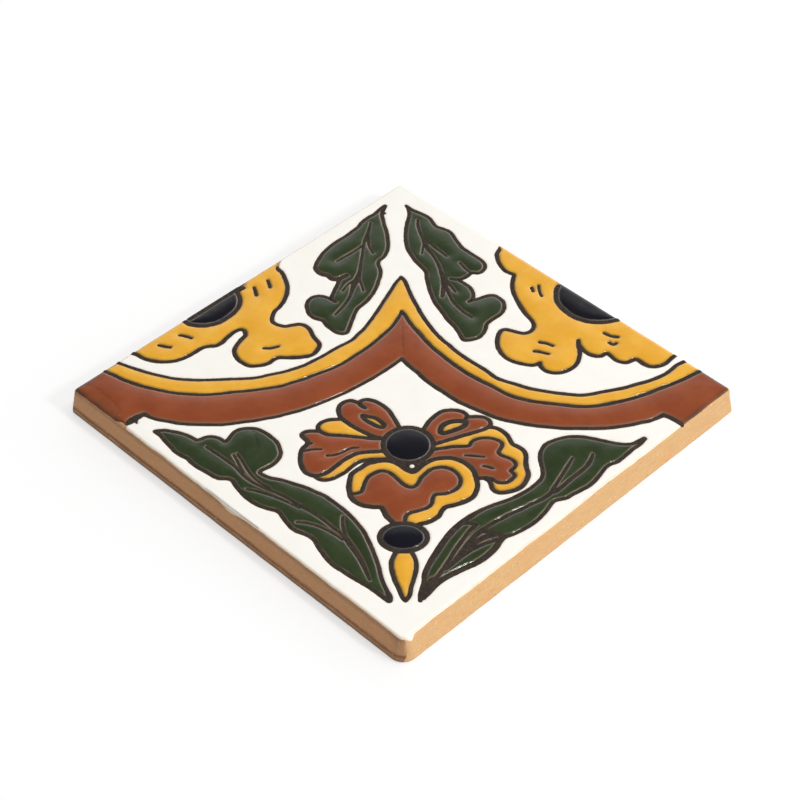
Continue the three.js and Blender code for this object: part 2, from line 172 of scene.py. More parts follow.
# %% Strokes of the half flowers
draw(1.15, (-28.7, 46.4, HAIR), (-29.5, 42.6, HAIR), (-29.5, 41.3), (-28.5, 40.1), (-27.8, 38.3),
     (-27.2, 36.2), (-26.95, 34.3), (-27.07, 32.2), (-27.7, 29.7), (-28.7, 27.6), (-29.5, 26.5),
     (-30, 25), (-30.2, 23.2), (-29.75, 22.2), (-28.7, 21.45), (-27.1, 21), (-25.7, 21.3),
     (-24, 21.7), (-22.6, 21.3), (-21.5, 20.2), (-20.9, 18.8), (-20.5, 17.6), (-19.8, 16.4),
     (-19, 15), (-19, 13.9), (-19.5, 12.7), (-20.3, 11.5), (-21.5, 10.8), (-23.3, 10.4),
     (-25.7, 10.25), (-28, 10.3), (-29.2, 9.7), (-30.3, 8.5), (-31.5, 7.9), (-33.1, 7.55),
     (-34.7, 7.55), (-36, 8.3), (-37.4, 9.7), (-38.25, 11.4), (-38.4, 13), (-37.9, 14.6),
     (-37.1, 16.3), (-36.15, 17.8), (-36.4, 19.3), (-37.2, 19.9), (-38.4, 19.3), (-39.5, 18.1),
     (-40.5, 16.7), (-41.4, 15.3), (-42.8, 14.3), (-44.4, 14.1), (-45.8, 13.6), (-47.2, 12.3),
     (-48.6, 11), (-50.3, 9.85), (-52.1, 9.15), (-54, 8.9), (-55.9, 9), (-57.7, 9.5),
     (-59.4, 10.4), (-60.8, 11.5), (-64, 12.6))
draw(1.2, (-52.4, 24), (-50.5, 22.75), (-49.5, 21.8), (-47.8, 21.25), (-45.3, 21.2), (-43.3, 21.8),
     (-41.7, 22.8), (-40, 24.5), (-38.8, 26.2), (-38.1, 28), (-37.9, 29.7), (-38.1, 31.3),
     (-38.6, 32.8), (-38.2, 33.8), (-37.5, 34.4, 1.4))
draw(HAIR, (-37.5, 34.4), (-36.1, 38.8))
draw(1.1, (-49.3, 23.4), (-46.1, 26.6), (-43.1, 29.6), (-40.1, 32.6), (-38.4, 34.3))
draw(0.8, (-31.75, 37.2), (-31.4, 36.1), (-31.1, 34.7))
draw(0.8, (-34.85, 34.6), (-34.5, 33.3), (-34.2, 31.8))
draw(0.85, (-51.3, 17.9), (-49.9, 17.6), (-48.5, 17))
draw(0.85, (-55.8, 14.5), (-54.5, 14.1), (-53.2, 13.8))
draw(0.85, (-31.7, 13.5), (-30.1, 13.5), (-28.4, 14.1))
draw(1.15, (24.2, 51, HAIR), (23.5, 49.4, HAIR), (23.3, 48.1), (22.75, 46.9), (22.75, 45.5),
     (23, 43.9), (23.6, 42.2), (24.5, 40.6), (25.7, 39.7), (26.5, 39.2), (26.4, 38), (26.1, 36.2),
     (26, 34.3), (26.3, 32.3), (26.9, 30.1), (27.6, 27.9), (28.7, 25.3), (29.9, 23.2),
     (30.45, 21.6), (30.2, 20), (29.4, 19), (28.2, 18.5), (26.8, 18.8), (25.4, 19.35), (24, 19.8),
     (22.9, 19.5), (22.3, 18.3), (21.9, 16.7), (21.8, 14.8), (22.05, 13.2), (22.75, 11.5),
     (23.8, 10), (25.2, 9), (26.8, 8.3), (28.7, 7.8), (30.1, 7.8), (31.3, 8.5))
draw(1.15, (31.3, 8.5), (31.4, 7.3), (32.4, 5.9), (33.9, 5.2), (35.5, 5.15), (37, 5.65),
     (38.4, 6.6), (39.5, 7.9), (40.1, 9.3), (40.5, 10.9), (40.6, 12.5), (40.5, 14.4, 1.3),
     (40.5, 16.1, 1.0))
draw(1.15, (40.7, 14.2), (41.05, 13.5), (41.75, 12.3), (42.8, 11.25), (44.2, 10.7), (45.4, 10.8),
     (46.2, 11.4), (46.9, 11.6), (47.5, 10.9), (48.4, 9.6), (49.6, 8.8), (51, 8.6), (52.1, 9.15),
     (53.1, 9.6), (54, 9), (54.9, 8), (56.1, 7.3), (57.5, 7.2), (58.9, 7.6), (60.1, 8.45),
     (61, 9.6), (64, 12.8))
draw(1.2, (36.8, 35), (36.3, 33.7), (36.1, 32.2), (36.1, 30.7), (36.3, 29.3), (36.9, 27.8),
     (37.7, 26.5), (38.7, 25.2), (40, 24), (41.3, 23.2), (43, 22.5), (45, 22.2), (47, 22.3),
     (49, 22.75), (52.3, 24))
draw(HAIR, (36.8, 35), (37.6, 37.5))
draw(0.85, (30.55, 34.5), (30.7, 33.9), (30.85, 33.2))
draw(0.75, (32.2, 35.2), (32.35, 33), (32.75, 31.5))
draw(0.85, (31.6, 15.4), (33.1, 15), (34.5, 14.2))
draw(0.85, (30.2, 12.4), (31.3, 12.2), (33.4, 11.5))
draw(0.85, (46.65, 18.5), (47.9, 17.55), (49.6, 17.1))
draw(0.85, (47.5, 15.3), (48.3, 14.6), (49.1, 15))
print(len(strokes), "strokes with the half flowers")

# %% [markdown]
# The leaves are outlined first and then veined. A vein starts thick at the stalk and thins out, and where
# two veins part the grease fills the sharp corner between them, which the distance field below does by
# itself.

# %% Strokes of the leaves
back_left_outer = [
    (-4.1, 65, 1.3), (-5.6, 63.3), (-6.6, 61.9), (-7.9, 60.8), (-9.7, 58.7), (-10.7, 56.8), (-12, 55.3),
    (-13.3, 53.7), (-14.9, 52.2), (-16.5, 50.5), (-17.7, 48.9), (-18.9, 47.1), (-19.7, 45.3),
    (-20.4, 43.3), (-20.65, 41.4), (-19.8, 40, 1.2), (-18.6, 39.2, 1.4), (-17.6, 38.9, 1.4), (-17, 38.1, 1.4),
    (-16.2, 37.5, 1.4), (-14.8, 37.8, 1.4), (-13.2, 38.9, 1.3)]
back_left_inner = [
    (-4.2, 64.6, 1.3), (-4.6, 63), (-4.8, 61.3), (-4.5, 59.7), (-4.3, 58), (-3.85, 56), (-3.45, 53.7),
    (-3.3, 51.3), (-3.3, 49.5), (-3.6, 47.6), (-4.3, 45.7), (-5.25, 44.6), (-5.65, 43.6),
    (-5.5, 42.5), (-5.1, 40.8), (-5.1, 39.2), (-5.5, 37.1), (-5.95, 35), (-6.7, 32.8), (-7.8, 30.5),
    (-9.1, 28.6), (-10.3, 27.2), (-11, 25.3), (-11.55, 23.2), (-12, 21.3), (-12.4, 19.7),
    (-12.8, 18.7), (-14, 18.4), (-15.4, 19), (-16.6, 20.2), (-17.6, 21.3), (-18.2, 22.7),
    (-19.1, 23.2), (-20.4, 23.8), (-21.5, 25), (-22.05, 26.5), (-22.3, 28.3), (-21.9, 30),
    (-21, 31.1), (-19.6, 31.6), (-18, 31.25), (-16.8, 30.55), (-15.6, 29.5)]
draw(1.0, *back_left_outer)
draw(1.0, (-14.8, 37.6), (-15.2, 35.7), (-15.9, 33.6), (-16.45, 31.7), (-16.7, 30.3))
draw(1.0, *back_left_inner)
draw(0.7, (-7.6, 58.6, 0.5), (-7.9, 56.2), (-8.6, 52.7, 1.1), (-9.1, 51), (-9.3, 49),
     (-9.45, 46.7), (-9.7, 44.3), (-9.9, 42, 0.8), (-10.15, 39.7, 1.1), (-10.6, 37.6, 1.7), (-11.2, 36, 1.7),
     (-11.7, 33.8, 1.1), (-12.3, 31.3, 0.8), (-13.3, 28.8), (-14.5, 26.7), (-15.6, 25, 0.5))
draw(0.65, (-9.2, 50.2), (-10.7, 48.5), (-12.6, 46.7), (-14.2, 45.3), (-15.5, 44.1, 0.5))
draw(0.65, (-8.2, 53.7), (-7.9, 49.9), (-7.35, 48.3), (-6.9, 47.1, 0.5))
draw(0.6, (-10.8, 37.5), (-12.6, 35.9), (-14, 33.4, 0.5))
draw(0.6, (-10.2, 38.2), (-9.7, 36.2), (-9.1, 33.4, 0.5))
draw(0.7, (-4.6, 62.6), (-4.1, 62.1))
back_right_outer = [
    (1.1, 65.1, 0.9), (2.7, 63.4), (4.1, 62.5), (5.7, 61.4), (6.9, 60.1), (7.6, 58.5), (8.4, 57.1),
    (9.8, 56.3), (11.2, 55.5), (12.1, 54.4), (12.8, 52.7), (13.5, 51.1), (14.5, 49.2), (15.9, 47.6),
    (17.3, 46.2), (18.7, 44.8), (19.6, 43.4), (19.8, 41.8), (19.1, 40.4), (18, 39.7), (16.6, 39.8),
    (15.6, 38.7), (14.5, 37.8), (13.1, 37.45), (11.6, 37.7)]
back_right_inner = [
    (1.1, 65.1, 0.9), (1.6, 63.9), (1.8, 62.3), (1.8, 61), (1.6, 59.9), (1.25, 58), (1, 56),
    (0.93, 53), (1.05, 50.6), (1.4, 48.5), (2.1, 46.7), (3.15, 44.3), (4.3, 42.5), (5.4, 40.8),
    (5.8, 39.7), (5.8, 38), (6.1, 36.2), (6.5, 33.5), (6.9, 31.9), (7.5, 29.7), (8.5, 27.4),
    (9.6, 25.3), (10.5, 23.2), (11.9, 21.1), (12.95, 19), (13.5, 17.4), (13.9, 16.4), (14.9, 16.1),
    (16.3, 16.4), (17.7, 17.1), (18.7, 18.5), (19.25, 19.9), (19.6, 21.6), (20.4, 22.7),
    (21.7, 23.9), (22.9, 25.1), (23.7, 26.7), (23.9, 28.3), (23.6, 29.7), (22.6, 31),
    (21.35, 31.8), (19.8, 31.5), (18.4, 30.8), (17.3, 30.3), (16.3, 30), (15.7, 29.5)]
draw(1.0, *back_right_outer)
draw(1.0, *back_right_inner)
draw(1.0, (13.3, 37.4), (14.9, 35.9), (16.1, 34.5), (16.7, 32.7), (16.7, 31), (16.1, 29.9))
draw(0.7, (3.9, 59.6, 0.5), (3.95, 57.2), (4.4, 54.8), (5, 53, 0.9), (5.6, 50.9, 1.3), (6.2, 48.5, 1),
     (7.2, 46.7), (8.2, 44.3), (8.9, 42, 0.8), (9.3, 40.1, 1), (9.8, 37.8, 1.3), (10, 35.5, 1.6),
     (10.8, 33.2, 0.9), (11.4, 31), (11.9, 29.5), (13.1, 27.6), (14.2, 26), (15.2, 25), (16.2, 24, 0.5))
draw(0.65, (5.4, 52.6), (7, 50.5), (8.4, 48.7), (10.7, 45.9, 0.5))
draw(0.6, (5.2, 50), (4.8, 46.9, 0.5))
draw(0.6, (13.8, 43.6, 0.5), (14.7, 42), (15.6, 40.6), (16.4, 39.9))
draw(0.6, (10.4, 36.7), (11.7, 34.8), (12.6, 32.9, 0.5))
draw(1.1, (9.9, 35.5, 1.3), (9.6, 33), (9.5, 31.4, 0.9))
front_left_upper = [
    (-54.5, -13.6, 1.4), (-53, -13.2), (-51.1, -13.5), (-49.3, -14), (-47.6, -14.7), (-46.2, -15.6),
    (-45.1, -16.3), (-44.1, -15.85), (-43, -15.3), (-41.3, -15.3), (-39.9, -16), (-39, -16.8),
    (-38.3, -16), (-37.7, -14.8), (-36.9, -13.6), (-35.5, -12.8), (-33.6, -12.6), (-32, -12.9),
    (-30.4, -13.9), (-29, -15.2), (-27.6, -16.9), (-26.9, -18.8), (-26.6, -20.6), (-27.1, -22.3),
    (-28, -23.7), (-29.4, -24.8), (-30.6, -25.65), (-30.95, -26.35), (-29.9, -27.2), (-28.5, -27.9),
    (-26.9, -28.3), (-25.2, -28.9), (-21.9, -30.3), (-20.1, -31.2), (-18.7, -32.1), (-17.3, -32.9),
    (-15.9, -34), (-14.5, -35.4), (-13.1, -36.8), (-11.7, -38.4), (-10.5, -40), (-9.3, -41.9),
    (-8.2, -43.8), (-7.5, -45.6), (-6.8, -47.5), (-6.1, -49.8), (-5.5, -51.9), (-5, -54),
    (-4.6, -56.2), (-4.1, -58.1), (-3.4, -60.1), (-2.8, -62, 1.5), (-2.9, -63, 1.6)]
front_left_lower = [
    (-54.5, -13.6, 1.4), (-53.2, -15), (-52.1, -16.7), (-50.9, -18.3), (-49.7, -19.9), (-48.3, -21.1),
    (-46.9, -22), (-46, -23.2), (-44.6, -24.6), (-42.7, -26), (-40.9, -27.4), (-39.5, -28.1),
    (-37.8, -28.2), (-36.7, -28.8), (-36, -30.2), (-35, -31.85), (-33.8, -33.5), (-32.4, -34.9),
    (-30.8, -36.1), (-28.9, -37), (-27.1, -37.6), (-26.25, -38.2), (-25.7, -39.3), (-24.7, -41),
    (-23.6, -42.6), (-22.6, -43.5), (-21.2, -44.2), (-19.8, -45.05), (-18.7, -46.1), (-18, -47.7),
    (-17, -49.6), (-15.9, -51.5), (-14.5, -53.3), (-12.8, -54.7), (-11.2, -56.1), (-9.6, -57.4),
    (-7.9, -58.7), (-6.2, -60.1), (-4.5, -61.8), (-2.9, -63, 1.6)]
draw(1.0, *front_left_upper)
draw(1.0, *front_left_lower)
draw(0.7, (-43, -18.4, 0.4), (-41.2, -20), (-39.2, -21.8), (-37.4, -23.5), (-36, -25), (-34.8, -26.8),
     (-33.2, -28.5), (-31.4, -29.9), (-29.4, -31.1), (-27.2, -32.3), (-25, -33.7), (-23, -35.3),
     (-21.2, -36.7), (-19.4, -38.1), (-17.7, -39.6), (-16.2, -41.1), (-14.8, -42.6), (-13.4, -44),
     (-12.2, -45.4, 1.3), (-11.2, -47.2, 1.3), (-10.1, -49.2, 1.3), (-9.1, -51.2, 1.2), (-8.3, -53.2, 1.1),
     (-7.6, -55.2, 0.9), (-6.9, -57.4, 0.5))
draw(0.55, (-36.9, -20.9, 0.35), (-36, -22.8), (-35.3, -24.6), (-34.5, -26.3))
draw(0.55, (-36.1, -20.6, 0.35), (-34.9, -22.8), (-33.9, -24.9), (-32.9, -26.8), (-31.7, -28.4),
     (-30.2, -29.8), (-28.6, -30.9))
draw(0.55, (-33.6, -31.2, 0.35), (-31.2, -31.9), (-28.8, -32.9), (-26.4, -34.1), (-24.2, -35.4),
     (-22, -36.8))
draw(0.6, (-22.5, -41, 0.4), (-20.5, -41.2), (-18.2, -42), (-16.2, -43.2), (-14.2, -44.6), (-12.8, -46))
draw(0.6, (-12.8, -39.4, 0.4), (-12.8, -41.2), (-12.6, -43), (-12, -45))
front_right_upper = [
    (53.1, -16, 1.5), (51.8, -16.7), (50.4, -17.5), (49, -17.7), (47.2, -17.5), (45.3, -17),
    (43.4, -16.4), (41.6, -15.85), (39.9, -15.4), (38.1, -15.3), (36.2, -15.4), (34.3, -16),
    (32.7, -16.8), (31.3, -17.8), (30.5, -19.2), (30, -20.9), (29.9, -22.3), (30.1, -23.9),
    (30.3, -25.5), (30.25, -27.2), (29.7, -28.6), (28.5, -30), (27.2, -31.3), (25.3, -32.8),
    (23.3, -34.1), (21.5, -35), (19.4, -36), (17.5, -37), (15.9, -38.1, 1.2), (14.3, -39.4, 1.4),
    (12.9, -40.7, 1.5), (11.9, -41.8, 1.6), (10.7, -43.2, 1.6), (9.5, -45, 1.6), (8.4, -46.9, 1.6),
    (7.4, -48.8, 1.6), (6.5, -50.6, 1.5), (5.6, -52.5, 1.4), (4.9, -54.3, 1.3), (4.4, -56.1, 1.2),
    (4.2, -58), (3.8, -59.9), (3.5, -61.5), (3.5, -63)]
front_right_lower = [
    (53.1, -16, 1.5), (51.8, -18), (50.4, -19.2), (49.3, -20.4), (48.1, -21.8), (46.7, -23.1),
    (45.3, -23.8), (44.1, -24.8), (43.2, -26.2), (42.3, -27.6), (41.1, -29.3), (39.7, -30.7),
    (38.1, -31.8), (36.6, -32.8), (35, -34), (33.6, -34.4), (32.4, -34.9), (31.5, -36.1),
    (30.6, -37.7), (29.6, -39.1), (28.5, -40.5), (26.8, -42.1), (25.2, -43.3), (23.3, -44.5),
    (21.6, -45.2, 1.3), (20.6, -46.2, 1.5), (19.6, -48, 1.6), (18.5, -49.6, 1.6), (16.9, -51.3, 1.6),
    (15.2, -52.7, 1.6), (13.3, -53.8, 1.6), (11.5, -54.9, 1.6), (9.8, -56, 1.6), (8.1, -57.3, 1.5),
    (6.6, -58.9, 1.4), (5.5, -60.5, 1.3), (4.2, -62.4)]
draw(1.0, *front_right_upper)
draw(1.0, *front_right_lower)
draw(1.8, (6.1, -57.4), (5.1, -59.3), (4.3, -61.2, 1.4))
draw(0.8, (37, -21.9, 0.5), (36, -24), (35, -26), (34, -28), (33, -29.9), (32.2, -31.3))
draw(1.0, (41.5, -20.7, 0.6), (40.8, -22.9), (39.8, -24.6), (38.4, -26.2), (36.9, -27.7), (35.4, -29.3),
     (34, -30.9), (32.6, -32.2))
draw(1.0, (32.7, -31.4), (31, -33.3), (29.6, -34.4), (27.5, -35.7), (25.4, -37.1), (23.3, -38.3),
     (21.5, -39.6), (19.8, -40.7), (18.4, -41.8), (16.8, -43.2))
print(len(strokes), "strokes with the leaves")

# %% [markdown]
# In the lower half of the right leaf the nozzle went to and fro, and the strokes nearly fill the leaf.
# Only thin slits between them took any glaze.

# %% Hatching in the right leaf
draw(1.0, (6.6, -57.2), (8.1, -54.7), (9.8, -51.4), (11.2, -48.5), (12.7, -45.8), (14.2, -43.3),
     (15.5, -41.9))
draw(1.3, (9, -54.2, 1.0), (10.9, -52), (12.5, -49.2), (14, -46.7), (15.6, -44.5), (17.2, -42.9))
draw(1.0, (11.2, -51.8), (13.1, -50), (15, -48.5), (17, -47.3), (19, -46.4), (20.6, -45.7))
draw(1.5, (13.8, -48.2), (15.5, -46.6), (17.3, -45.3), (19.4, -44.5))
draw(1.3, (17.2, -43.6), (19.2, -44.1), (21, -45))
draw(1.0, (12.6, -41.3), (14.2, -41.3), (15.6, -41.8))
print(len(strokes), "strokes with the hatching")

# %% Round strokes of the middle flower


def draw_ring(width, across, along, reach_across, reach_along, places):
    """A closed round stroke, such as the ring about the dark eye."""
    turns = np.linspace(0, 2 * math.pi, places)
    draw(width, *[(across + reach_across * math.cos(t), along + reach_along * math.sin(t)) for t in turns])


draw_ring(1.2, 1.2, -17.85, 5.5, 5.5, 25)
draw_ring(1.25, 0.1, -45.35, 5.05, 4.05, 25)

# %% Strokes of the middle flower
draw(1.1, (-1.4, -49.4), (-2.3, -51.7), (-2.45, -53.6), (-2.2, -55.4), (-1.75, -57.4),
     (-1, -59.5), (-0.2, -62), (0.5, -62.9, 1.3))
draw(1.1, (0.5, -62.9, 1.3), (1.3, -61.6), (1.6, -59.6), (2.1, -57.6), (2.55, -55.5), (2.8, -53.6),
     (2.6, -51.7), (1.7, -49.3))
draw(1.15, (-0.7, -12.5), (-1.2, -11.1), (-2, -9.2), (-2.9, -7.3), (-4.1, -5.7), (-5.5, -4.5),
     (-6.9, -3.7), (-8.3, -3.5), (-9.4, -4.1), (-9.5, -5), (-8.9, -5.7), (-8.3, -6.2, 0.9))
draw(1.15, (-9.6, -4.6), (-10.6, -4.1), (-11.8, -3.8), (-13, -4.3), (-13.9, -5.2), (-14.25, -6.6),
     (-14.1, -8), (-13.7, -9.2), (-12.7, -10.4), (-11.6, -11.5), (-10.2, -12.7), (-8.5, -13.9),
     (-7.1, -14.8), (-5.7, -15.4), (-4.6, -15.7))
draw(1.2, (-8.9, -8.6), (-7.6, -9), (-6.2, -9.4), (-5, -10.4), (-4.1, -11.5), (-4.3, -12.35),
     (-5.5, -12), (-6.9, -11.1), (-8.1, -10.1), (-8.8, -9.2), (-8.9, -8.6))
draw(1.1, (-13.7, -9.7), (-15.1, -9.8), (-16.7, -10.1), (-18.1, -10.95), (-18.7, -12.2),
     (-18.3, -13.4), (-17.4, -14.2), (-16, -14.7), (-13.7, -14.9), (-11.3, -15.15), (-9, -15.5),
     (-6.7, -15.85), (-5, -15.95))
draw(1.15, (-18.2, -13.5), (-20, -13.5), (-21.4, -13.75), (-22.2, -14.6), (-21.8, -15.6),
     (-20.9, -16.7), (-21, -17.8), (-21.6, -18.5), (-22.2, -19.9), (-22.3, -21.3), (-22.3, -22.7),
     (-21.95, -24.4), (-21.25, -26), (-20.2, -26.9), (-19, -27.3), (-17.4, -26.9), (-16, -26),
     (-14.6, -24.4), (-13, -22.7), (-11.3, -21.3), (-9.7, -20.4), (-7.8, -20.05), (-6, -19.9),
     (-4.6, -19.8))
draw(0.7, (-21, -17.3), (-20, -17.4))
draw(0.7, (-21.4, -19.7), (-19.7, -19.2), (-17.75, -19.2, 0.5))
draw(0.7, (-16.5, -21.1), (-15.1, -21), (-13.7, -20.4), (-12.3, -19.5), (-11.1, -18.8),
     (-9.7, -18.65, 0.5))
draw(1.1, (-19.2, -27.3), (-18.1, -28.3), (-16.7, -28.6), (-15.1, -28.1), (-13.7, -27.2),
     (-12.3, -26), (-11.1, -24.6), (-9.9, -23.4), (-8.5, -22.7), (-6.9, -22.4), (-5.3, -22.3),
     (-3.6, -22.1))
heart_left = [
    (2, -26.2), (0.6, -25.3), (-0.6, -24.1), (-1.8, -23.2), (-3.2, -22.7), (-4.8, -22.7),
    (-6.4, -23.1), (-7.8, -23.6), (-9, -24.8), (-10.2, -25.8), (-11.1, -26.9), (-11.45, -28.8),
    (-11.6, -30.6), (-11.4, -32.3), (-11.2, -33.5), (-10.3, -34.9), (-8.9, -35.95), (-7.5, -36.4),
    (-6.1, -36.65), (-4.7, -36.65), (-4.1, -37.7), (-3.6, -39.1), (-3, -40), (-2.2, -41)]
heart_right = [
    (2, -26.2), (2.9, -25.8), (3.8, -24.6), (5, -23.4), (6.2, -22.6), (7.3, -22.15), (8.7, -21.9),
    (10.4, -21.9), (12, -22.4), (13.4, -23.3), (14.6, -24.6), (15.4, -26), (15.85, -27.9),
    (16.1, -29.7), (15.9, -31.5), (15.1, -33.5), (13.8, -34.7), (12.1, -35.6), (10.5, -36.2),
    (9.1, -36.65), (8.3, -37.7), (7.7, -39.1), (6.5, -40.3), (5.1, -41.1), (3.5, -41.6)]
draw(1.3, *heart_left)
draw(1.3, *heart_right)
draw(0.9, (-0.8, -23.2), (1.2, -23.3), (3.8, -23.2))
draw(0.9, (-0.3, -23.9), (0.4, -24.2), (1.1, -24.4))
draw(0.9, (4.2, -23.9), (3.7, -24.2), (3, -24.4))
draw_ring(0.9, 2.05, -24.4, 0.97, 0.97, 13)
draw(1.0, (-11.2, -32.6), (-10.1, -32.6), (-9, -32.1), (-8.5, -30.7), (-8.1, -29), (-7.4, -27.6),
     (-6.2, -26.5), (-4.8, -25.8), (-3.4, -26), (-2.2, -26.9), (-1.1, -28.3), (0.1, -29.8),
     (1.5, -30.7), (2.7, -30.4), (3.4, -29.3), (3.95, -27.9), (5, -26.5), (6.2, -25.3),
     (7.8, -24.7), (9.4, -24.8), (11.1, -25.8), (12.1, -27.2), (12.5, -28.8), (12.1, -30.5),
     (11, -31.7), (9.5, -32.5), (8.2, -32.75), (7, -32.9), (6.4, -34), (6.2, -35.4),
     (5.6, -36.5), (4.4, -37.2), (3, -37.8), (1.6, -38.3), (0.8, -39), (0.5, -40), (0.4, -41))
draw(1.15, (4.8, -12.7), (5.5, -11.1), (6.4, -9.7), (7.6, -8.3), (9, -7.2), (10.6, -6.9),
     (12.2, -7), (13.4, -7.45), (14.2, -8.3), (14.3, -9), (13.9, -9.6, 0.8))
draw(1.15, (14.4, -9.1), (15.7, -9), (17.1, -9), (18.3, -9.3), (19.2, -10.1), (19.5, -11.2),
     (19.1, -12.1), (18.1, -12.9), (16.7, -13.6), (15, -14.3), (13.4, -14.9), (11.8, -15.6),
     (10.1, -16.3), (8.5, -17), (6.9, -17.6))
draw(1.5, (8.3, -13.9), (8.5, -12.5), (9.4, -11.3), (10.8, -10.6), (12.5, -10.4), (13.9, -10.7),
     (13.9, -11.5), (12.9, -12.5), (11.5, -13.2), (10.1, -13.9), (9, -14.2), (8.3, -13.9))
draw(0.8, (13.9, -10.7), (14.1, -9.6))
draw(1.25, (19.2, -12.2), (20.9, -12.7), (22, -13.6), (23, -14.8), (23.55, -16.2), (24.1, -17.6),
     (25.3, -18.5), (26.5, -19.7), (26.9, -21.3), (26.8, -23.2), (26.9, -25.1), (27.2, -26.5),
     (26.9, -28.1), (26, -30.1), (24.6, -31.4), (22.9, -32.1), (21.4, -32.4), (20.2, -32.2),
     (19.3, -31.3), (19, -29.9), (18.6, -28.8), (17.8, -28.1), (16.7, -28), (15.9, -28.4))
draw(1.0, (6.9, -19.2), (9.2, -18.8), (11.1, -18.4), (12.9, -18.3), (14.6, -18.1), (15, -17.1),
     (16, -16.2), (17.4, -15.7), (19, -15.7), (20.4, -16.1), (21.6, -16.9), (21.8, -18.1),
     (21.3, -19.2), (20.9, -20.2), (21.6, -21.1), (23, -21.8), (24.1, -22.7), (24.6, -23.9),
     (24.1, -25.1), (23.4, -25.8), (23.9, -26.5), (24.25, -27.2), (23.55, -28.3), (22.5, -29.3),
     (20.9, -29.4), (19.7, -28.8), (19, -28.1), (17.8, -27.9))
draw(0.7, (13.6, -21.1, 0.5), (15.3, -21.2), (17.8, -21.6, 0.5))
draw(0.7, (17.4, -24.4, 0.5), (18.5, -24.6), (19.7, -25.1, 0.5))
print(len(strokes), "strokes in all,", sum(len(s) for s in strokes), "places")

# %% [markdown]
# Between its places a stroke runs on a smooth curve. A Catmull-Rom spline passes through every place, so
# what was drawn stays where it was drawn, and the widths are blended in the same way.

# %% Smooth strokes
STROKE_STEP = 0.45


def on_face(across, along):
    """From the drawing's diagonals to the tile's sides."""
    size = FACE_HALF / DRAWN_HALF / math.sqrt(2)
    return (across - along) * size, (across + along) * size


def smooth(points):
    """A dense Catmull-Rom run through the points, as an array of x, y and width."""
    p = np.array([(*on_face(u, v), w) for u, v, w in points])
    p = np.vstack([2 * p[0] - p[1], p, 2 * p[-1] - p[-2]])
    run = []
    for a, b, c, d in zip(p, p[1:], p[2:], p[3:]):
        steps = max(2, math.ceil(np.hypot(*(c - b)[:2]) / STROKE_STEP))
        for t in np.arange(steps) / steps:
            run.append(0.5 * (2 * b + (c - a) * t + (2 * a - 5 * b + 4 * c - d) * t**2
                              + (3 * b - a - 3 * c + d) * t**3))
    run.append(p[-2])
    return np.array(run)


lines = [smooth(s) for s in strokes]
print(round(sum(np.hypot(*np.diff(l[:, :2], axis=0).T).sum() for l in lines)), "mm of line")

# %% [markdown]
# ## Creases
# In a few places two pours of one glaze met when they were nearly stiff, or the skin sagged over the edge,
# and a shallow crease was left. They are drawn like the strokes, but they only dent the glaze, and the
# glaze is painted darker along them as shade. Each has its own reach to either side and its own depth.

# %% Creases in the glaze
creases = [(reach, depth, smooth([(u, v, 0) for u, v in run])) for reach, depth, run in (
    (0.45, 0.03, [(-70.8, 1.2), (-69.4, 0.3), (-67.8, -0.9), (-65.3, -3.6), (-63.3, -6.3), (-62.9, -7.9),
                  (-63.1, -9)]),
    (0.3, 0.05, [(-33.3, -13.1), (-32.6, -15), (-31.9, -17.5), (-31.7, -20), (-32.3, -22.7)]),
    (0.3, 0.05, [(0, 25.2), (0.2, 21), (0.1, 16), (0.3, 10.9)]),
    (0.14, 0.08, [(-42.5, -30.9), (-39.7, -33.6), (-36.6, -36.7), (-33.6, -39.7), (-30.6, -42.6)]))]


def crease_depth(x, y):
    """How deep in a crease a point lies, in millimetres."""
    deepest = np.zeros(np.shape(x))
    for reach, depth, run in creases:
        nearest = np.full(np.shape(x), 99.0)
        for (ax, ay, _), (bx, by, _) in zip(run, run[1:]):
            dx, dy = bx - ax, by - ay
            t = np.clip(((x - ax) * dx + (y - ay) * dy) / (dx**2 + dy**2), 0, 1)
            nearest = np.minimum(nearest, np.hypot(x - ax - t * dx, y - ay - t * dy))
        deepest = np.maximum(deepest, depth * np.exp(-(nearest / reach) ** 2))
    return deepest


print(len(creases), "creases")

# %% [markdown]
# ## Where the glaze may flow
# Every point of the face gets one number: how far it is from the nearest line's edge, or from the edge of
# the tile where that is nearer. Glaze fills what is above zero. The number is worked out on a fine grid,
# each stretch of line only near itself, and then roughened a little, because grease has a ragged edge.

# %% A grid of room for glaze
PITCH = 0.1
REACH = 2.6  # beyond this the distance no longer matters
GRID_HALF = 52.5
FRAYS = ((0.045, 1.3), (0.05, 0.45))  # how far a line's edge strays, and over what length
FRAY_IN = 0.02  # a line may widen freely, but narrows by no more than this on each side, so none breaks
count = int(round(2 * GRID_HALF / PITCH)) + 1
ticks = np.linspace(-GRID_HALF, GRID_HALF, count)
grid_x, grid_y = np.meshgrid(ticks, ticks)


def wander(x, y, size, seed):
    """Smooth noise between about -1 and 1, whose blotches are of that size."""
    lattice = np.random.default_rng(seed).uniform(-1, 1, (257, 257))
    fx, fy = np.asarray(x) / size + 400.0, np.asarray(y) / size + 400.0
    ix, iy = np.floor(fx).astype(int), np.floor(fy).astype(int)
    tx, ty = fx - ix, fy - iy
    tx, ty = tx * tx * (3 - 2 * tx), ty * ty * (3 - 2 * ty)
    ix, iy = ix % 256, iy % 256
    low_row = lattice[iy, ix] * (1 - tx) + lattice[iy, ix + 1] * tx
    high_row = lattice[iy + 1, ix] * (1 - tx) + lattice[iy + 1, ix + 1] * tx
    return low_row * (1 - ty) + high_row * ty


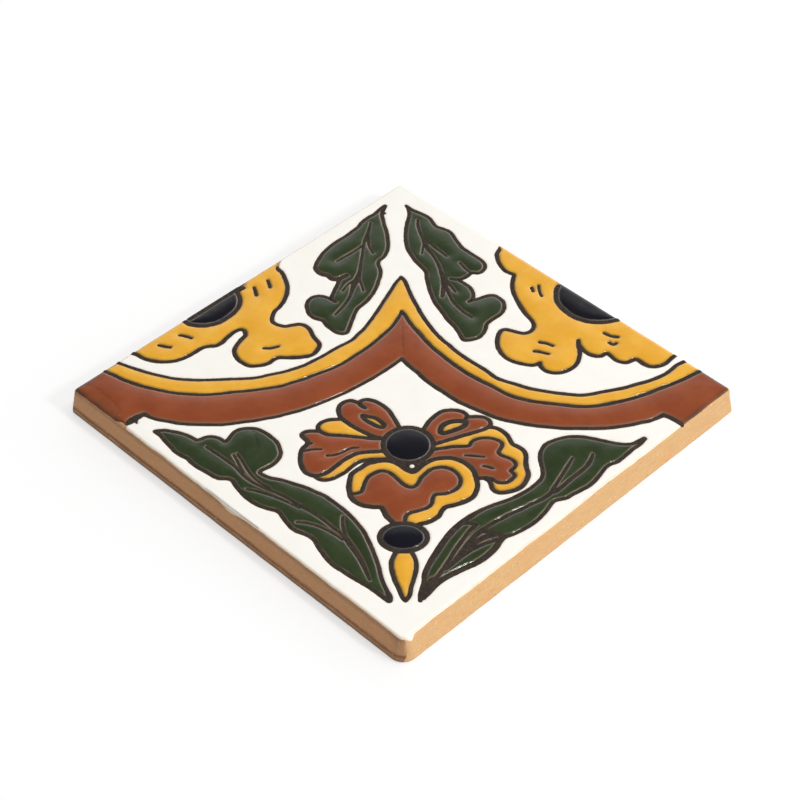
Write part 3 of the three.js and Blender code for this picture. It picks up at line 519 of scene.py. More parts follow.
def inside_face(x, y):
    """How far a point lies inside the face's outline, negative outside it."""
    radius = np.where((x > 0) & (y < 0), FRONT_FACE_R, FACE_CORNER_R)
    qx, qy = np.abs(x) - (FACE_HALF - radius), np.abs(y) - (FACE_HALF - radius)
    return radius - np.hypot(np.maximum(qx, 0), np.maximum(qy, 0)) - np.minimum(np.maximum(qx, qy), 0)


room = np.full((count, count), REACH)
for line in lines:
    for (ax, ay, aw), (bx, by, bw) in zip(line, line[1:]):
        reach = REACH + max(aw, bw)
        i0, i1 = np.searchsorted(ticks, (min(ax, bx) - reach, max(ax, bx) + reach))
        j0, j1 = np.searchsorted(ticks, (min(ay, by) - reach, max(ay, by) + reach))
        if i0 >= i1 or j0 >= j1:
            continue
        x, y = grid_x[j0:j1, i0:i1] - ax, grid_y[j0:j1, i0:i1] - ay
        dx, dy = bx - ax, by - ay
        t = np.clip((x * dx + y * dy) / max(dx * dx + dy * dy, 1e-9), 0, 1)
        far = np.hypot(x - t * dx, y - t * dy) - (aw + (bw - aw) * t) / 2
        np.minimum(room[j0:j1, i0:i1], far, out=room[j0:j1, i0:i1])
frayed = sum(most * wander(grid_x, grid_y, size, SEED + k) for k, (most, size) in enumerate(FRAYS))
room += np.minimum(frayed, FRAY_IN)

# %% [markdown]
# At the tile's edge nothing holds the glaze back but its own skin, so it stops in a wavy line that is
# sometimes short of the edge and sometimes a little over it.

# %% Ragged edge of the glazed face
EDGE_MARGIN = 0.3
EDGE_SOFT = 0.55  # distances to the edge count for less, so that the rim there is broader
RETREATS = [  # across, along, how wide, and how much further in the glaze stops, or out where negative
    (-62.2, -11.4, 1.1, 1.2), (-52, -21, 3.0, 0.2), (43, -30.5, 4.0, 0.15), (1.6, -72.6, 0.8, -0.5),
    (4.4, -70, 1.6, -0.12), (-37, -37.2, 5.0, -0.28)]


def edge_margin(x, y):
    """How far inside the face's outline the glaze stops."""
    waves = 0.09 * wander(x, y, 5.0, SEED + 2) + 0.05 * wander(x, y, 1.7, SEED + 3)
    for across, along, wide, deep in RETREATS:
        bx, by = on_face(across, along)
        waves = waves + deep * np.exp(-((x - bx) ** 2 + (y - by) ** 2) / wide**2)
    return EDGE_MARGIN + waves


line_room = room
edge_room = inside_face(grid_x, grid_y) - edge_margin(grid_x, grid_y)
room = np.minimum(line_room, edge_room * EDGE_SOFT)
room[[0, -1], :] = room[:, [0, -1]] = -1
print(f"glaze covers {100 * (room > 0).mean():.0f}% of the grid")

# %% [markdown]
# ## Contours
# A pool's rim is only a third of a millimetre wide, so the mesh needs its points along the rim, not on a
# square grid. Marching squares walks round every cell that a height line crosses and returns closed loops,
# with the glaze always on the left. A loop at each of a few distances from the line's edge gives the rim
# its round section.

# %% Contour loops by marching squares
BOTTOM, RIGHT, TOP, LEFT = range(4)
CROSSINGS = {
    1: [(BOTTOM, LEFT)], 2: [(RIGHT, BOTTOM)], 3: [(RIGHT, LEFT)], 4: [(TOP, RIGHT)],
    5: [(BOTTOM, LEFT), (TOP, RIGHT)], 6: [(TOP, BOTTOM)], 7: [(TOP, LEFT)], 8: [(LEFT, TOP)],
    9: [(BOTTOM, TOP)], 10: [(RIGHT, BOTTOM), (LEFT, TOP)], 11: [(RIGHT, TOP)], 12: [(LEFT, RIGHT)],
    13: [(BOTTOM, RIGHT)], 14: [(LEFT, BOTTOM)]}


def contour(values, level, step, shortest):
    """Closed loops where the grid's values pass the level, resampled to about one step."""
    above = values > level
    code = (above[:-1, :-1] + 2 * above[:-1, 1:] + 4 * above[1:, 1:] + 8 * above[1:, :-1]).astype(int)
    after = {}
    for case, pairs in CROSSINGS.items():
        row, column = np.nonzero(code == case)
        place = row * count + column
        edge = {BOTTOM: place, TOP: place + count,
                LEFT: count * count + place, RIGHT: count * count + place + 1}
        for start, end in pairs:
            after.update(zip(edge[start].tolist(), edge[end].tolist()))
    loops = []
    while after:
        first, at = after.popitem()
        loop = [first]
        while at != first:
            loop.append(at)
            at = after.pop(at)
        loops.append(spaced(crossing_points(values, level, np.array(loop)), step, shortest))
    return [loop for loop in loops if loop is not None]


def crossing_points(values, level, edges):
    """Where the level crosses each grid edge."""
    upright = edges >= count * count
    j, i = np.divmod(edges % (count * count), count)
    here = values[j, i]
    above, beside = values[np.minimum(j + 1, count - 1), i], values[j, np.minimum(i + 1, count - 1)]
    t = (level - here) / (np.where(upright, above, beside) - here) * PITCH
    return np.stack([ticks[i] + np.where(upright, 0, t), ticks[j] + np.where(upright, t, 0)], 1)


def spaced(points, step, shortest):
    """A closed loop smoothed a little and laid out again at even steps, or None if it is too short."""
    for _ in range(2):
        points = (np.roll(points, 1, 0) + 2 * points + np.roll(points, -1, 0)) / 4
    closed = np.vstack([points, points[:1]])
    along = np.concatenate([[0], np.cumsum(np.hypot(*np.diff(closed, axis=0).T))])
    if along[-1] < shortest:
        return None
    wanted = np.linspace(0, along[-1], max(6, round(along[-1] / step)), endpoint=False)
    return np.stack([np.interp(wanted, along, closed[:, k]) for k in range(2)], 1)


SMALLEST_POOL = 1.1  # a pool with a shorter rim is left out
SHORTEST_LOOP = 0.6
RIM_LEVELS = [(0.0, 0.3), (0.07, 0.32), (0.17, 0.34), (0.3, 0.38), (0.45, 0.42), (0.62, 0.5), (0.85, 0.7),
              (1.5, 1.3)]
points, levels, edges = [], [], []
for level, step in RIM_LEVELS:
    for loop in contour(room, level, step, SHORTEST_LOOP if level else SMALLEST_POOL):
        start = len(points)
        points.extend(loop)
        levels.extend([level] * len(loop))
        edges.extend((start + k, start + (k + 1) % len(loop)) for k in range(len(loop)))
print(len(points), "places on the contours")

# %% [markdown]
# ## One triangle net for the whole face
# The wide calm middles of the pools get a loose scatter of extra points. Blender's constrained Delaunay
# triangulation then joins everything, keeping the contours as edges. Triangles whose middle has room for
# glaze are kept, and the rest are the gaps where the drawn line shows.

# %% Triangulate and keep what is glazed


def sample(grid, x, y):
    """A grid's value at any point, blended between its four neighbours."""
    fx = np.clip((np.asarray(x) + GRID_HALF) / PITCH, 0, count - 1.001)
    fy = np.clip((np.asarray(y) + GRID_HALF) / PITCH, 0, count - 1.001)
    i, j = fx.astype(int), fy.astype(int)
    tx, ty = fx - i, fy - j
    return ((grid[j, i] * (1 - tx) + grid[j, i + 1] * tx) * (1 - ty)
            + (grid[j + 1, i] * (1 - tx) + grid[j + 1, i + 1] * tx) * ty)


SCATTER = 1.5
INNER_ROOM = 1.9  # the scatter keeps this far from every line
CREASE_ROOM = 0.2
CREASE_SIDES = (-0.55, -0.3, -0.12, 0.12, 0.3, 0.55)  # rows of points along each crease
rng = np.random.default_rng(SEED)
rows = np.arange(-FACE_HALF, FACE_HALF, SCATTER)
loose = np.stack(np.meshgrid(rows, rows), -1).reshape(-1, 2)
loose += rng.uniform(0.2, 0.8, loose.shape) * SCATTER
loose = loose[sample(room, *loose.T) > INNER_ROOM]
beside = []
for _, _, run in creases:
    ahead = np.gradient(run[:, :2], axis=0)
    across = np.stack([-ahead[:, 1], ahead[:, 0]], 1) / np.hypot(*ahead.T)[:, None]
    beside += [run[:, :2] + across * offset for offset in CREASE_SIDES]
beside = np.vstack(beside)
loose = np.vstack([loose, beside[sample(room, *beside.T) > CREASE_ROOM]])
points.extend(loose)
levels.extend([-1.0] * len(loose))
net = delaunay_2d_cdt([Vector(p) for p in points], edges, [], 0, 1e-6)
net_xy = np.array([tuple(v) for v in net[0]])
triangles = np.array(net[2])
net_room = sample(room, *net_xy.T).clip(0)
for i, sources in enumerate(net[3]):
    if sources and levels[sources[0]] >= 0:
        net_room[i] = levels[sources[0]]
middle = net_xy[triangles].mean(1)
triangles = triangles[sample(room, *middle.T) > 0]
a, b, c = (net_xy[triangles[:, k]] for k in range(3))
area = (b - a)[:, 0] * (c - a)[:, 1] - (b - a)[:, 1] * (c - a)[:, 0]
triangles = triangles[area > 1e-7]
print(len(triangles), "triangles of glaze")

# %% [markdown]
# ## Flooding
# The net falls apart into separate cells, as the drawing does. Each cell is flooded with one colour from a
# point inside it, or, in a leaf, with the leaf's green wherever its middle lies inside the leaf's outline.
# Whatever is left over is the cream ground.

# %% Cells of the drawing
cell_of = np.arange(len(net_xy))
pairs = np.vstack([triangles[:, [0, 1]], triangles[:, [1, 2]]])
while True:
    lowest = np.minimum(cell_of[pairs[:, 0]], cell_of[pairs[:, 1]])
    before = cell_of.copy()
    np.minimum.at(cell_of, pairs[:, 0], lowest)
    np.minimum.at(cell_of, pairs[:, 1], lowest)
    cell_of = cell_of[cell_of]
    if (before == cell_of).all():
        break
cells = np.unique(cell_of[triangles[:, 0]])
deepest = {cell: max(np.nonzero(cell_of == cell)[0], key=lambda i: net_room[i]) for cell in cells}
print(len(cells), "cells")


def within(outline, point):
    """Whether the point lies inside the outline, by counting the sides to its right."""
    x, y = point
    p = np.asarray(outline)
    q = np.roll(p, -1, 0)
    spans = (p[:, 1] > y) != (q[:, 1] > y)
    rise = np.where(spans, q[:, 1] - p[:, 1], 1)
    return (spans & (x < p[:, 0] + (y - p[:, 1]) / rise * (q[:, 0] - p[:, 0]))).sum() % 2 == 1


glazed = triangles[:, 0]
colour_of = {cell: "cream" for cell in cells}


def flood(colour, *places):
    """Pours a glaze into the cells that hold these places on the diagonals."""
    for place in places:
        nearest = np.argmin(np.hypot(*(net_xy[glazed] - on_face(*place)).T))
        colour_of[cell_of[glazed[nearest]]] = colour


def flood_within(colour, *sides):
    """Pours a glaze into every cell whose deepest place lies inside the outline of these strokes."""
    outline = [on_face(*p[:2]) for p in sides[0]] + [on_face(*p[:2]) for p in reversed(sides[1])]
    for cell, place in deepest.items():
        if within(outline, net_xy[place]):
            colour_of[cell] = colour


flood_within("green", back_left_outer + [(-14.7, 37.1), (-15.9, 33.6), (-16.7, 30.3)], back_left_inner)
flood_within("green", back_right_outer + [(14.9, 35.9), (16.7, 32.7), (16.1, 29.9)], back_right_inner)
flood_within("green", front_left_upper, front_left_lower)
flood_within("green", front_right_upper, front_right_lower)
flood("yellow", (-50, 1), (10, 13), (-45, 18), (-24, 15), (-31, 30), (27, 15), (45, 16), (31, 30))
flood("yellow", (-6.5, -10.8), (-16, -12.3), (-15, -27), (-7, -25), (3, -28), (14, -28), (8, -34.6),
      (4.5, -39), (10.8, -12), (13, -16.2), (25.3, -22), (0.4, -55), (18.5, -14.2), (23, -30.8))
flood("brown", (-50, -6), (20, -4), (0, 17), (70, 0), (-11.8, -7), (-5, -7), (-19, -17), (-15, -23),
      (-9, -17.8), (-4, -31), (6, -29), (3, -33), (9, -9), (16.5, -11), (17, -19), (21, -26), (11.5, -20.3))
flood("navy", (1.2, -18), (0.1, -45), (-43, 27), (42, 28))
print({name: list(colour_of.values()).count(name) for name in sorted(set(colour_of.values()))})

# %% [markdown]
# ## Pools of glaze
# Molten glaze is held by its skin, so a pool's section is a steep round shoulder and then a slow crown.
# The coloured glazes are laid on thick. The cream ground is thinner, and its rim is small. Each colour is
# one closed mesh: the net above, the same net turned over below, and a wall all round between them.

# %% Section of a pool
GLAZE_UNDER = 6.55
POOLS = {  # height of the foot, of the shoulder and of the crown, and the shoulder's width
    "cream": (6.88, 6.99, 7.0, 0.45),
    "yellow": (6.88, 7.11, 7.25, 0.6),
    "brown": (6.88, 7.11, 7.26, 0.6),
    "green": (6.87, 7.13, 7.29, 0.6),
    "navy": (6.87, 7.13, 7.29, 0.6)}
CROWN_REACH = 2.6
CONTACT = math.radians(52)  # how steeply a glaze's skin meets the line
RUN_OFF = (-66, -6)  # the middle of the place where the glaze ran thin off the edge, on the diagonals
RUN_OFF_REACH = 7.0
RUN_OFF_MORE = 1.2  # how much broader the thin rim is there


def edge_drop(x, y):
    """How far the face's rounded edge has fallen below its flat."""
    tucked = np.clip(FACE_EDGE_R - inside_face(x, y), 0, FACE_EDGE_R)
    return FACE_EDGE_R - np.sqrt(FACE_EDGE_R**2 - tucked**2)


def glaze_height(colour, x, y, distance):
    """Height of the glaze's skin at a distance from the nearest line."""
    foot, shoulder, crown, width = POOLS[colour]
    short = (1 - np.clip(distance / width, 0, 1)) * math.sin(CONTACT)
    rim = (np.sqrt(1 - short**2) - math.cos(CONTACT)) / (1 - math.cos(CONTACT))
    swell = np.clip(distance / CROWN_REACH, 0, 1)
    swell = swell * swell * (3 - 2 * swell)
    waves = 0.02 * wander(x, y, 7.0, SEED + 4) + 0.008 * wander(x, y, 2.2, SEED + 5)
    waves = waves - crease_depth(x, y)
    return foot + (shoulder - foot) * rim + (crown - shoulder) * swell + waves * rim - edge_drop(x, y)


def edge_breadth(x, y):
    """How many times as broad the thin rim at the tile's edge is as elsewhere."""
    bx, by = on_face(*RUN_OFF)
    return 1 + RUN_OFF_MORE * np.exp(-((x - bx) ** 2 + (y - by) ** 2) / RUN_OFF_REACH**2)


def solid_pool(colour):
    """The closed mesh of all cells of one colour, with each point's distance to the line and the edge."""
    mine = np.array([colour_of[cell_of[t]] == colour for t in triangles[:, 0]])
    used, tris = np.unique(triangles[mine], return_inverse=True)
    tris = tris.reshape(-1, 3)
    x, y = net_xy[used].T
    top = glaze_height(colour, x, y, net_room[used])
    under = GLAZE_UNDER - edge_drop(x, y)
    below = len(used)  # the same points again, on the pool's underside, are this much further on
    sides = np.vstack([tris[:, [0, 1]], tris[:, [1, 2]], tris[:, [2, 0]]])
    directed = set(map(tuple, sides.tolist()))
    rim = [(p, q) for p, q in directed if (q, p) not in directed]
    faces = tris.tolist() + (tris[:, ::-1] + below).tolist()
    faces += [(p + below, q + below, q, p) for p, q in rim]
    mesh = bpy.data.meshes.new(colour + "_glaze")
    coordinates = np.vstack([np.stack([x, y, top], 1), np.stack([x, y, under], 1)]) * MM
    mesh.from_pydata(coordinates.tolist(), [], faces)
    to_edge = sample(edge_room, x, y).clip(0) / edge_breadth(x, y)
    for name, amounts in (("line_distance", sample(line_room, x, y).clip(0)), ("edge_distance", to_edge),
                          ("crease", crease_depth(x, y))):
        mesh.attributes.new(name, "FLOAT", "POINT").data.foreach_set("value", np.tile(amounts, 2))
    mesh.shade_smooth()
    piece = bpy.data.objects.new(colour + "_glaze", mesh)
    bpy.context.scene.collection.objects.link(piece)
    print(piece.name, len(mesh.vertices), "points,", len(faces), "faces")
    return piece


pools = {colour: solid_pool(colour) for colour in POOLS}

# %% [markdown]
# ## The drawn lines
# The line is a low, matt bead that follows each stroke, so Geometry Nodes sweep it: the strokes become a
# curve object whose radius is half the line's width, and the tree runs a flattened ring along it. The bead
# is a little wider than the gap that shows, so that the pools stand on its flanks as real glaze does.

# %% Strokes as curves
BEAD_HEIGHT = 6.86  # the widest part of the bead, just above the feet of the pools
BEAD_TUCK = 0.25  # how far the bead reaches under the glaze on each side
BEAD_STOP = 0.45  # how far short of the edge of the face a bead stops
BEAD_CROWN = 0.13  # the bead's height as a share of its half width
BEAD_SIDES = 10
ROUND_END = np.array([0.98, 0.8, 0.5])  # places of the rings that round off a bead's end


def visible_runs():
    """The stretches of the strokes that are a real line and lie on the face."""
    for line in lines:
        on_tile = (inside_face(*line[:, :2].T) > BEAD_STOP) & (line[:, 2] > 0.5 * (HAIR + THINNEST))
        cuts = np.flatnonzero(np.diff(on_tile.astype(int))) + 1
        for run in np.split(np.arange(len(line)), cuts):
            if on_tile[run[0]] and len(run) > 1:
                yield line[run]


def bead_curve():
    """All visible runs as poly splines, rounded off at both ends."""
    curve = bpy.data.curves.new("strokes", "CURVE")
    curve.dimensions = "3D"
    for line in visible_runs():
        half = line[:, 2] / 2 + BEAD_TUCK
        start, end = line[0, :2] - line[1, :2], line[-1, :2] - line[-2, :2]
        start, end = start / np.hypot(*start), end / np.hypot(*end)
        spare = np.minimum(half, inside_face(*line[:, :2].T) + 0.1)
        xy = np.vstack([line[0, :2] + np.outer(ROUND_END * spare[0], start), line[:, :2],
                        line[-1, :2] + np.outer(ROUND_END[::-1] * spare[-1], end)])
        ends = np.sqrt(1 - ROUND_END**2)
        radii = np.concatenate([half[0] * ends, half, half[-1] * ends[::-1]])
        spline = curve.splines.new("POLY")
        spline.points.add(len(xy) - 1)
        z = BEAD_HEIGHT - edge_drop(*xy.T)
        spline.points.foreach_set("co", np.stack([*xy.T * MM, z * MM, np.ones(len(xy))], 1).ravel())
        spline.points.foreach_set("radius", radii * MM)
    return bpy.data.objects.new("strokes", curve)


def put(tree, kind, feeds=None, **settings):
    """Adds a node, with its settings, and fills its inputs with values or with other nodes' outputs."""
    made = tree.nodes.new(kind)
    for name, value in settings.items():
        setattr(made, name, value)
    for name, value in (feeds or {}).items():
        if isinstance(value, bpy.types.NodeSocket):
            tree.links.new(value, made.inputs[name])
        else:
            made.inputs[name].default_value = value
    return made


def field(tree, name, kind, value=None):
    """A named input of a node tree."""
    socket = tree.interface.new_socket(name, in_out="INPUT", socket_type=kind)
    if value is not None:
        socket.default_value = value
    return socket


def bead_tree(finish):
    """Sweeps a flattened ring along every stroke."""
    tree = bpy.data.node_groups.new("bead", "GeometryNodeTree")
    field(tree, "Strokes", "NodeSocketGeometry")
    field(tree, "Sides", "NodeSocketInt", BEAD_SIDES)
    field(tree, "Crown", "NodeSocketFloat", BEAD_CROWN)
    tree.interface.new_socket("Bead", in_out="OUTPUT", socket_type="NodeSocketGeometry")
    given, out = tree.nodes.new("NodeGroupInput"), tree.nodes.new("NodeGroupOutput")
    upright = put(tree, "GeometryNodeSetCurveNormal", {"Curve": given.outputs["Strokes"]}, mode="Z_UP")
    ring = put(tree, "GeometryNodeCurvePrimitiveCircle",
               {"Resolution": given.outputs["Sides"], "Radius": 1.0})
    squash = put(tree, "ShaderNodeCombineXYZ", {"X": 1.0, "Y": given.outputs["Crown"], "Z": 1.0})
    flat = put(tree, "GeometryNodeTransform", {"Geometry": ring.outputs["Curve"], "Scale": squash.outputs[0]})
    half_width = put(tree, "GeometryNodeInputRadius").outputs["Radius"]
    sweep = put(tree, "GeometryNodeCurveToMesh",
                {"Curve": upright.outputs["Curve"], "Profile Curve": flat.outputs["Geometry"],
                 "Scale": half_width, "Fill Caps": True})
    smooth_look = put(tree, "GeometryNodeSetShadeSmooth", {"Geometry": sweep.outputs["Mesh"]})
    real = put(tree, "GeometryNodeRealizeInstances", {"Geometry": smooth_look.outputs["Geometry"]})
    paint = put(tree, "GeometryNodeSetMaterial", {"Geometry": real.outputs["Geometry"], "Material": finish})
    tree.links.new(paint.outputs["Geometry"], out.inputs["Bead"])
    return tree


def made_by(tree, source, name, **inputs):
    """The plain mesh that a node tree makes of an object, as a new object."""
    bpy.context.scene.collection.objects.link(source)
    modifier = source.modifiers.new(name, "NODES")
    modifier.node_group = tree
    for socket in tree.interface.items_tree:
        if socket.name in inputs:
            modifier[socket.identifier] = inputs[socket.name]
    graph = bpy.context.evaluated_depsgraph_get()
    mesh = bpy.data.meshes.new_from_object(source.evaluated_get(graph), depsgraph=graph)
    source.modifiers.remove(modifier)
    bpy.data.objects.remove(source)
    piece = bpy.data.objects.new(name, mesh)
    mesh.name = name
    bpy.context.scene.collection.objects.link(piece)
    print(name, len(mesh.vertices), "points,", len(mesh.polygons), "faces")
    return piece


line_finish = bpy.data.materials.new("fired_line")
bead = made_by(bead_tree(line_finish), bead_curve(), "drawn_lines", Sides=BEAD_SIDES, Crown=BEAD_CROWN)

# %% [markdown]
# ## The slab
# The fired slab shows at its sides and its bed. It is a loft of rounded squares, from the bed's rounded
# edge up the leaning sides to the rounded edge of the face, closed by ever smaller rings above and below.
# Small noise on each ring gives the pressed clay its slight waves, and a few dents stand for old knocks.

# %% The slab
SLAB_UNDER_GLAZE = 0.2  # the slab's face lies this much below the cream ground
BED_HOLLOW = 0.15  # the bed is pressed a little hollow inside its rim
ARC_STEPS = 6
WALL_STEPS = 16
CORNER_POINTS = 12
STRAIGHT_POINTS = 180
FLAT_SHARES = (0.985, 0.95, 0.88, 0.78, 0.66, 0.54, 0.42, 0.3, 0.18, 0.08)  # rings that close a flat
DENT_DEPTH = 0.9
DENT_ABOVE = 0.78  # dents lie only where the noise is stronger than this


def rounded_square(half, others, front):
    """Places round a rounded square, anticlockwise from the back corner, always equally many."""
    arcs = []
    for turn, radius in ((1, others), (2, others), (3, front), (0, others)):
        angle = turn * math.pi / 2 + np.linspace(0, math.pi / 2, CORNER_POINTS)
        middle = (half - radius) * np.sign([np.cos(angle).sum(), np.sin(angle).sum()])
        arcs.append(middle + radius * np.stack([np.cos(angle), np.sin(angle)], 1))
    t = np.linspace(0, 1, STRAIGHT_POINTS, endpoint=False)[1:, None]
    return np.vstack([part for here, there in zip(arcs, arcs[1:] + arcs[:1])
                      for part in (here, here[-1] * (1 - t) + there[0] * t)])


def slab_section():
    """Half side, corner radii and height of each ring, from the bed up over the edge of the face."""
    section = []
    for t in np.linspace(0, math.pi / 2, ARC_STEPS):
        tuck = BED_EDGE_R * (1 - math.sin(t))
        section.append((BED_HALF - tuck, BED_CORNER_R - tuck, FRONT_BED_R - tuck,
                        BED_EDGE_R * (1 - math.cos(t))))
    shoulder = GROUND - FACE_EDGE_R
    for t in np.arange(1, WALL_STEPS) / WALL_STEPS:
        section.append((BED_HALF - FLARE * t, BED_CORNER_R + (FACE_CORNER_R - BED_CORNER_R) * t,
                        FRONT_BED_R + (FRONT_FACE_R - FRONT_BED_R) * t,
                        BED_EDGE_R + (shoulder - BED_EDGE_R) * t))
    for t in np.linspace(0, math.pi / 2, ARC_STEPS):
        tuck = FACE_EDGE_R * (1 - math.cos(t))
        section.append((FACE_HALF - tuck, FACE_CORNER_R - tuck, FRONT_FACE_R - tuck,
                        shoulder + (FACE_EDGE_R - SLAB_UNDER_GLAZE) * math.sin(t)))
    return section


def clay_ring(half, others, front, z):
    """One ring of the slab's side, with the waves, streaks and dents of pressed clay."""
    ring = rounded_square(half, others, front)
    outwards = ring / np.abs(ring).max(1, keepdims=True)
    along = np.cumsum(np.hypot(*np.diff(ring, axis=0, prepend=ring[-1:]).T))
    relief = 0.03 * wander(along, z + 0 * along, 4.0, SEED + 6)
    relief += 0.025 * wander(along * 0.5, z * 2 + 0 * along, 0.9, SEED + 7)
    relief -= DENT_DEPTH * np.clip(wander(along, z * 1.5 + 0 * along, 1.7, SEED + 8) - DENT_ABOVE, 0, 1)
    return np.column_stack([ring + outwards * (relief - 0.03)[:, None], np.full(len(ring), z)])


def flat_rings(ring, z, rough, seed):
    """Rings that close a flat of the slab, from its rim inwards."""
    shrunk = [ring[:, :2] * share for share in FLAT_SHARES]
    return [np.column_stack([xy, z + rough * wander(*xy.T, 3.0, seed)]) for xy in shrunk]


side = [clay_ring(*ring) for ring in slab_section()]
bed = flat_rings(side[0], BED_HOLLOW, 0.03, SEED + 9)
face = flat_rings(side[-1], GROUND - SLAB_UNDER_GLAZE, 0.0, SEED)
rings = bed[::-1] + side + face
ring_size = len(rings[0])
here = np.arange(ring_size)
ahead = (here + 1) % ring_size
walls = [np.stack([here, ahead, ahead + ring_size, here + ring_size], 1) + k * ring_size
         for k in range(len(rings) - 1)]
middles = len(rings) * ring_size
top = middles - ring_size
slab_points = np.vstack(rings + [[[0, 0, BED_HOLLOW], [0, 0, GROUND - SLAB_UNDER_GLAZE]]]) * MM
slab_faces = np.vstack(walls).tolist()
slab_faces += np.stack([ahead, here, np.full(ring_size, middles)], 1).tolist()
slab_faces += np.stack([top + here, top + ahead, np.full(ring_size, middles + 1)], 1).tolist()
slab_mesh = bpy.data.meshes.new("slab")
slab_mesh.from_pydata(slab_points.tolist(), [], slab_faces)
slab_mesh.shade_smooth()
slab = bpy.data.objects.new("slab", slab_mesh)
bpy.context.scene.collection.objects.link(slab)
print("slab", len(slab_points), "points,", len(slab_faces), "faces")

# %% [markdown]
# ## Grog in the clay
# Ground fired clay, called grog, is mixed into the body so that it dries without cracking, and its grains
# stand a little proud where a side was cut. Thousands of nearly equal grains are work for Geometry Nodes:
# they are strewn over the slab's sides and bed, turned at random, and half sunk.

# %% Grog grains
GRAINS_PER_MM2 = 0.55
GRAIN_SIZE = (0.08, 0.2)
GRAIN_ZONE = (0.12, GROUND - 1.0)  # lowest and highest place of a grain


def grog_tree(finish):
    """Strews small few-faced grains over the bare clay."""
    tree = bpy.data.node_groups.new("grog", "GeometryNodeTree")
    field(tree, "Slab", "NodeSocketGeometry")
    field(tree, "Density", "NodeSocketFloat", 1e6)
    field(tree, "Smallest", "NodeSocketFloat", 0.1)
    field(tree, "Largest", "NodeSocketFloat", 0.2)
    field(tree, "Lowest", "NodeSocketFloat", 0.0001)
    field(tree, "Highest", "NodeSocketFloat", 0.006)
    field(tree, "Seed", "NodeSocketInt", SEED)
    tree.interface.new_socket("Grains", in_out="OUTPUT", socket_type="NodeSocketGeometry")
    given, out = tree.nodes.new("NodeGroupInput"), tree.nodes.new("NodeGroupOutput")
    place = put(tree, "ShaderNodeSeparateXYZ", {"Vector": put(tree, "GeometryNodeInputPosition").outputs[0]})
    below = put(tree, "FunctionNodeCompare", {0: place.outputs["Z"], 1: given.outputs["Highest"]},
                data_type="FLOAT", operation="LESS_THAN")
    above = put(tree, "FunctionNodeCompare", {0: place.outputs["Z"], 1: given.outputs["Lowest"]},
                data_type="FLOAT", operation="GREATER_THAN")
    bare = put(tree, "FunctionNodeBooleanMath", {0: below.outputs[0], 1: above.outputs[0]}, operation="AND")
    strewn = put(tree, "GeometryNodeDistributePointsOnFaces",
                 {"Mesh": given.outputs["Slab"], "Selection": bare.outputs[0],
                  "Density": given.outputs["Density"], "Seed": given.outputs["Seed"]})
    grain = put(tree, "GeometryNodeMeshIcoSphere", {"Radius": 0.5 * MM, "Subdivisions": 1})
    size = put(tree, "FunctionNodeRandomValue",
               {2: given.outputs["Smallest"], 3: given.outputs["Largest"], "Seed": given.outputs["Seed"]},
               data_type="FLOAT")
    turn = put(tree, "FunctionNodeRandomValue", {0: (0, 0, 0), 1: (6.28, 6.28, 6.28), "Seed": SEED},
               data_type="FLOAT_VECTOR")
    sown = put(tree, "GeometryNodeInstanceOnPoints",
               {"Points": strewn.outputs["Points"], "Instance": grain.outputs["Mesh"],
                "Rotation": turn.outputs[0], "Scale": size.outputs[1]})
    real = put(tree, "GeometryNodeRealizeInstances", {"Geometry": sown.outputs["Instances"]})
    paint = put(tree, "GeometryNodeSetMaterial", {"Geometry": real.outputs["Geometry"], "Material": finish})
    tree.links.new(paint.outputs["Geometry"], out.inputs["Grains"])
    return tree


clay_finish = bpy.data.materials.new("fired_clay")
slab_mesh.materials.append(clay_finish)
slab_copy = bpy.data.objects.new("slab_copy", slab_mesh.copy())
grog = made_by(grog_tree(clay_finish), slab_copy, "grog", Density=GRAINS_PER_MM2 * 1e6,
               Smallest=GRAIN_SIZE[0], Largest=GRAIN_SIZE[1],
               Lowest=GRAIN_ZONE[0] * MM, Highest=GRAIN_ZONE[1] * MM)

# %% [markdown]
# ## Finishes
# Three kinds of surface show: glossy glaze, the dry fired line, and bare clay. What all glazes share is
# built once as node groups, and each material then sets its own colours. The groups read the real distance
# to the pool's rim, which the mesh carries as an attribute, because a glaze is thinnest there.

# %% Colours as the eye reads them


def fired(red, green, blue):
    """A colour given in the usual 0 to 255 steps, as the linear values that shaders use."""
    share = np.array([red, green, blue]) / 255
    linear = np.where(share <= 0.04045, share / 12.92, ((share + 0.055) / 1.055) ** 2.4)
    return (*linear.tolist(), 1.0)


def blend(tree, share, first, second):
    """Mixes two colours by a share."""
    return put(tree, "ShaderNodeMix", {0: share, 6: first, 7: second}, data_type="RGBA").outputs[2]


def calc(tree, operation, *values):
    """One step of arithmetic."""
    return put(tree, "ShaderNodeMath", dict(enumerate(values)), operation=operation).outputs[0]


def ease(tree, value, start, end, first=0.0, last=1.0):
    """Goes softly from first to last while the value goes from start to end."""
    feeds = {"Value": value, "From Min": start, "From Max": end, "To Min": first, "To Max": last}
    return put(tree, "ShaderNodeMapRange", feeds, interpolation_type="SMOOTHSTEP").outputs["Result"]


def blotches(tree, place, size, detail=2.0):
    """Noise whose blotches are about that many millimetres wide."""
    feeds = {"Vector": place, "Scale": 1 / (size * MM), "Detail": detail, "Roughness": 0.55}
    return put(tree, "ShaderNodeTexNoise", feeds).outputs["Fac"]


def new_group(name, wants, gives):
    """An empty shader group with named inputs and outputs."""
    tree = bpy.data.node_groups.new(name, "ShaderNodeTree")
    for socket, kind, value in wants:
        tree.interface.new_socket(socket, in_out="INPUT", socket_type=kind).default_value = value
    for socket, kind in gives:
        tree.interface.new_socket(socket, in_out="OUTPUT", socket_type=kind)
    return tree, tree.nodes.new("NodeGroupInput"), tree.nodes.new("NodeGroupOutput")


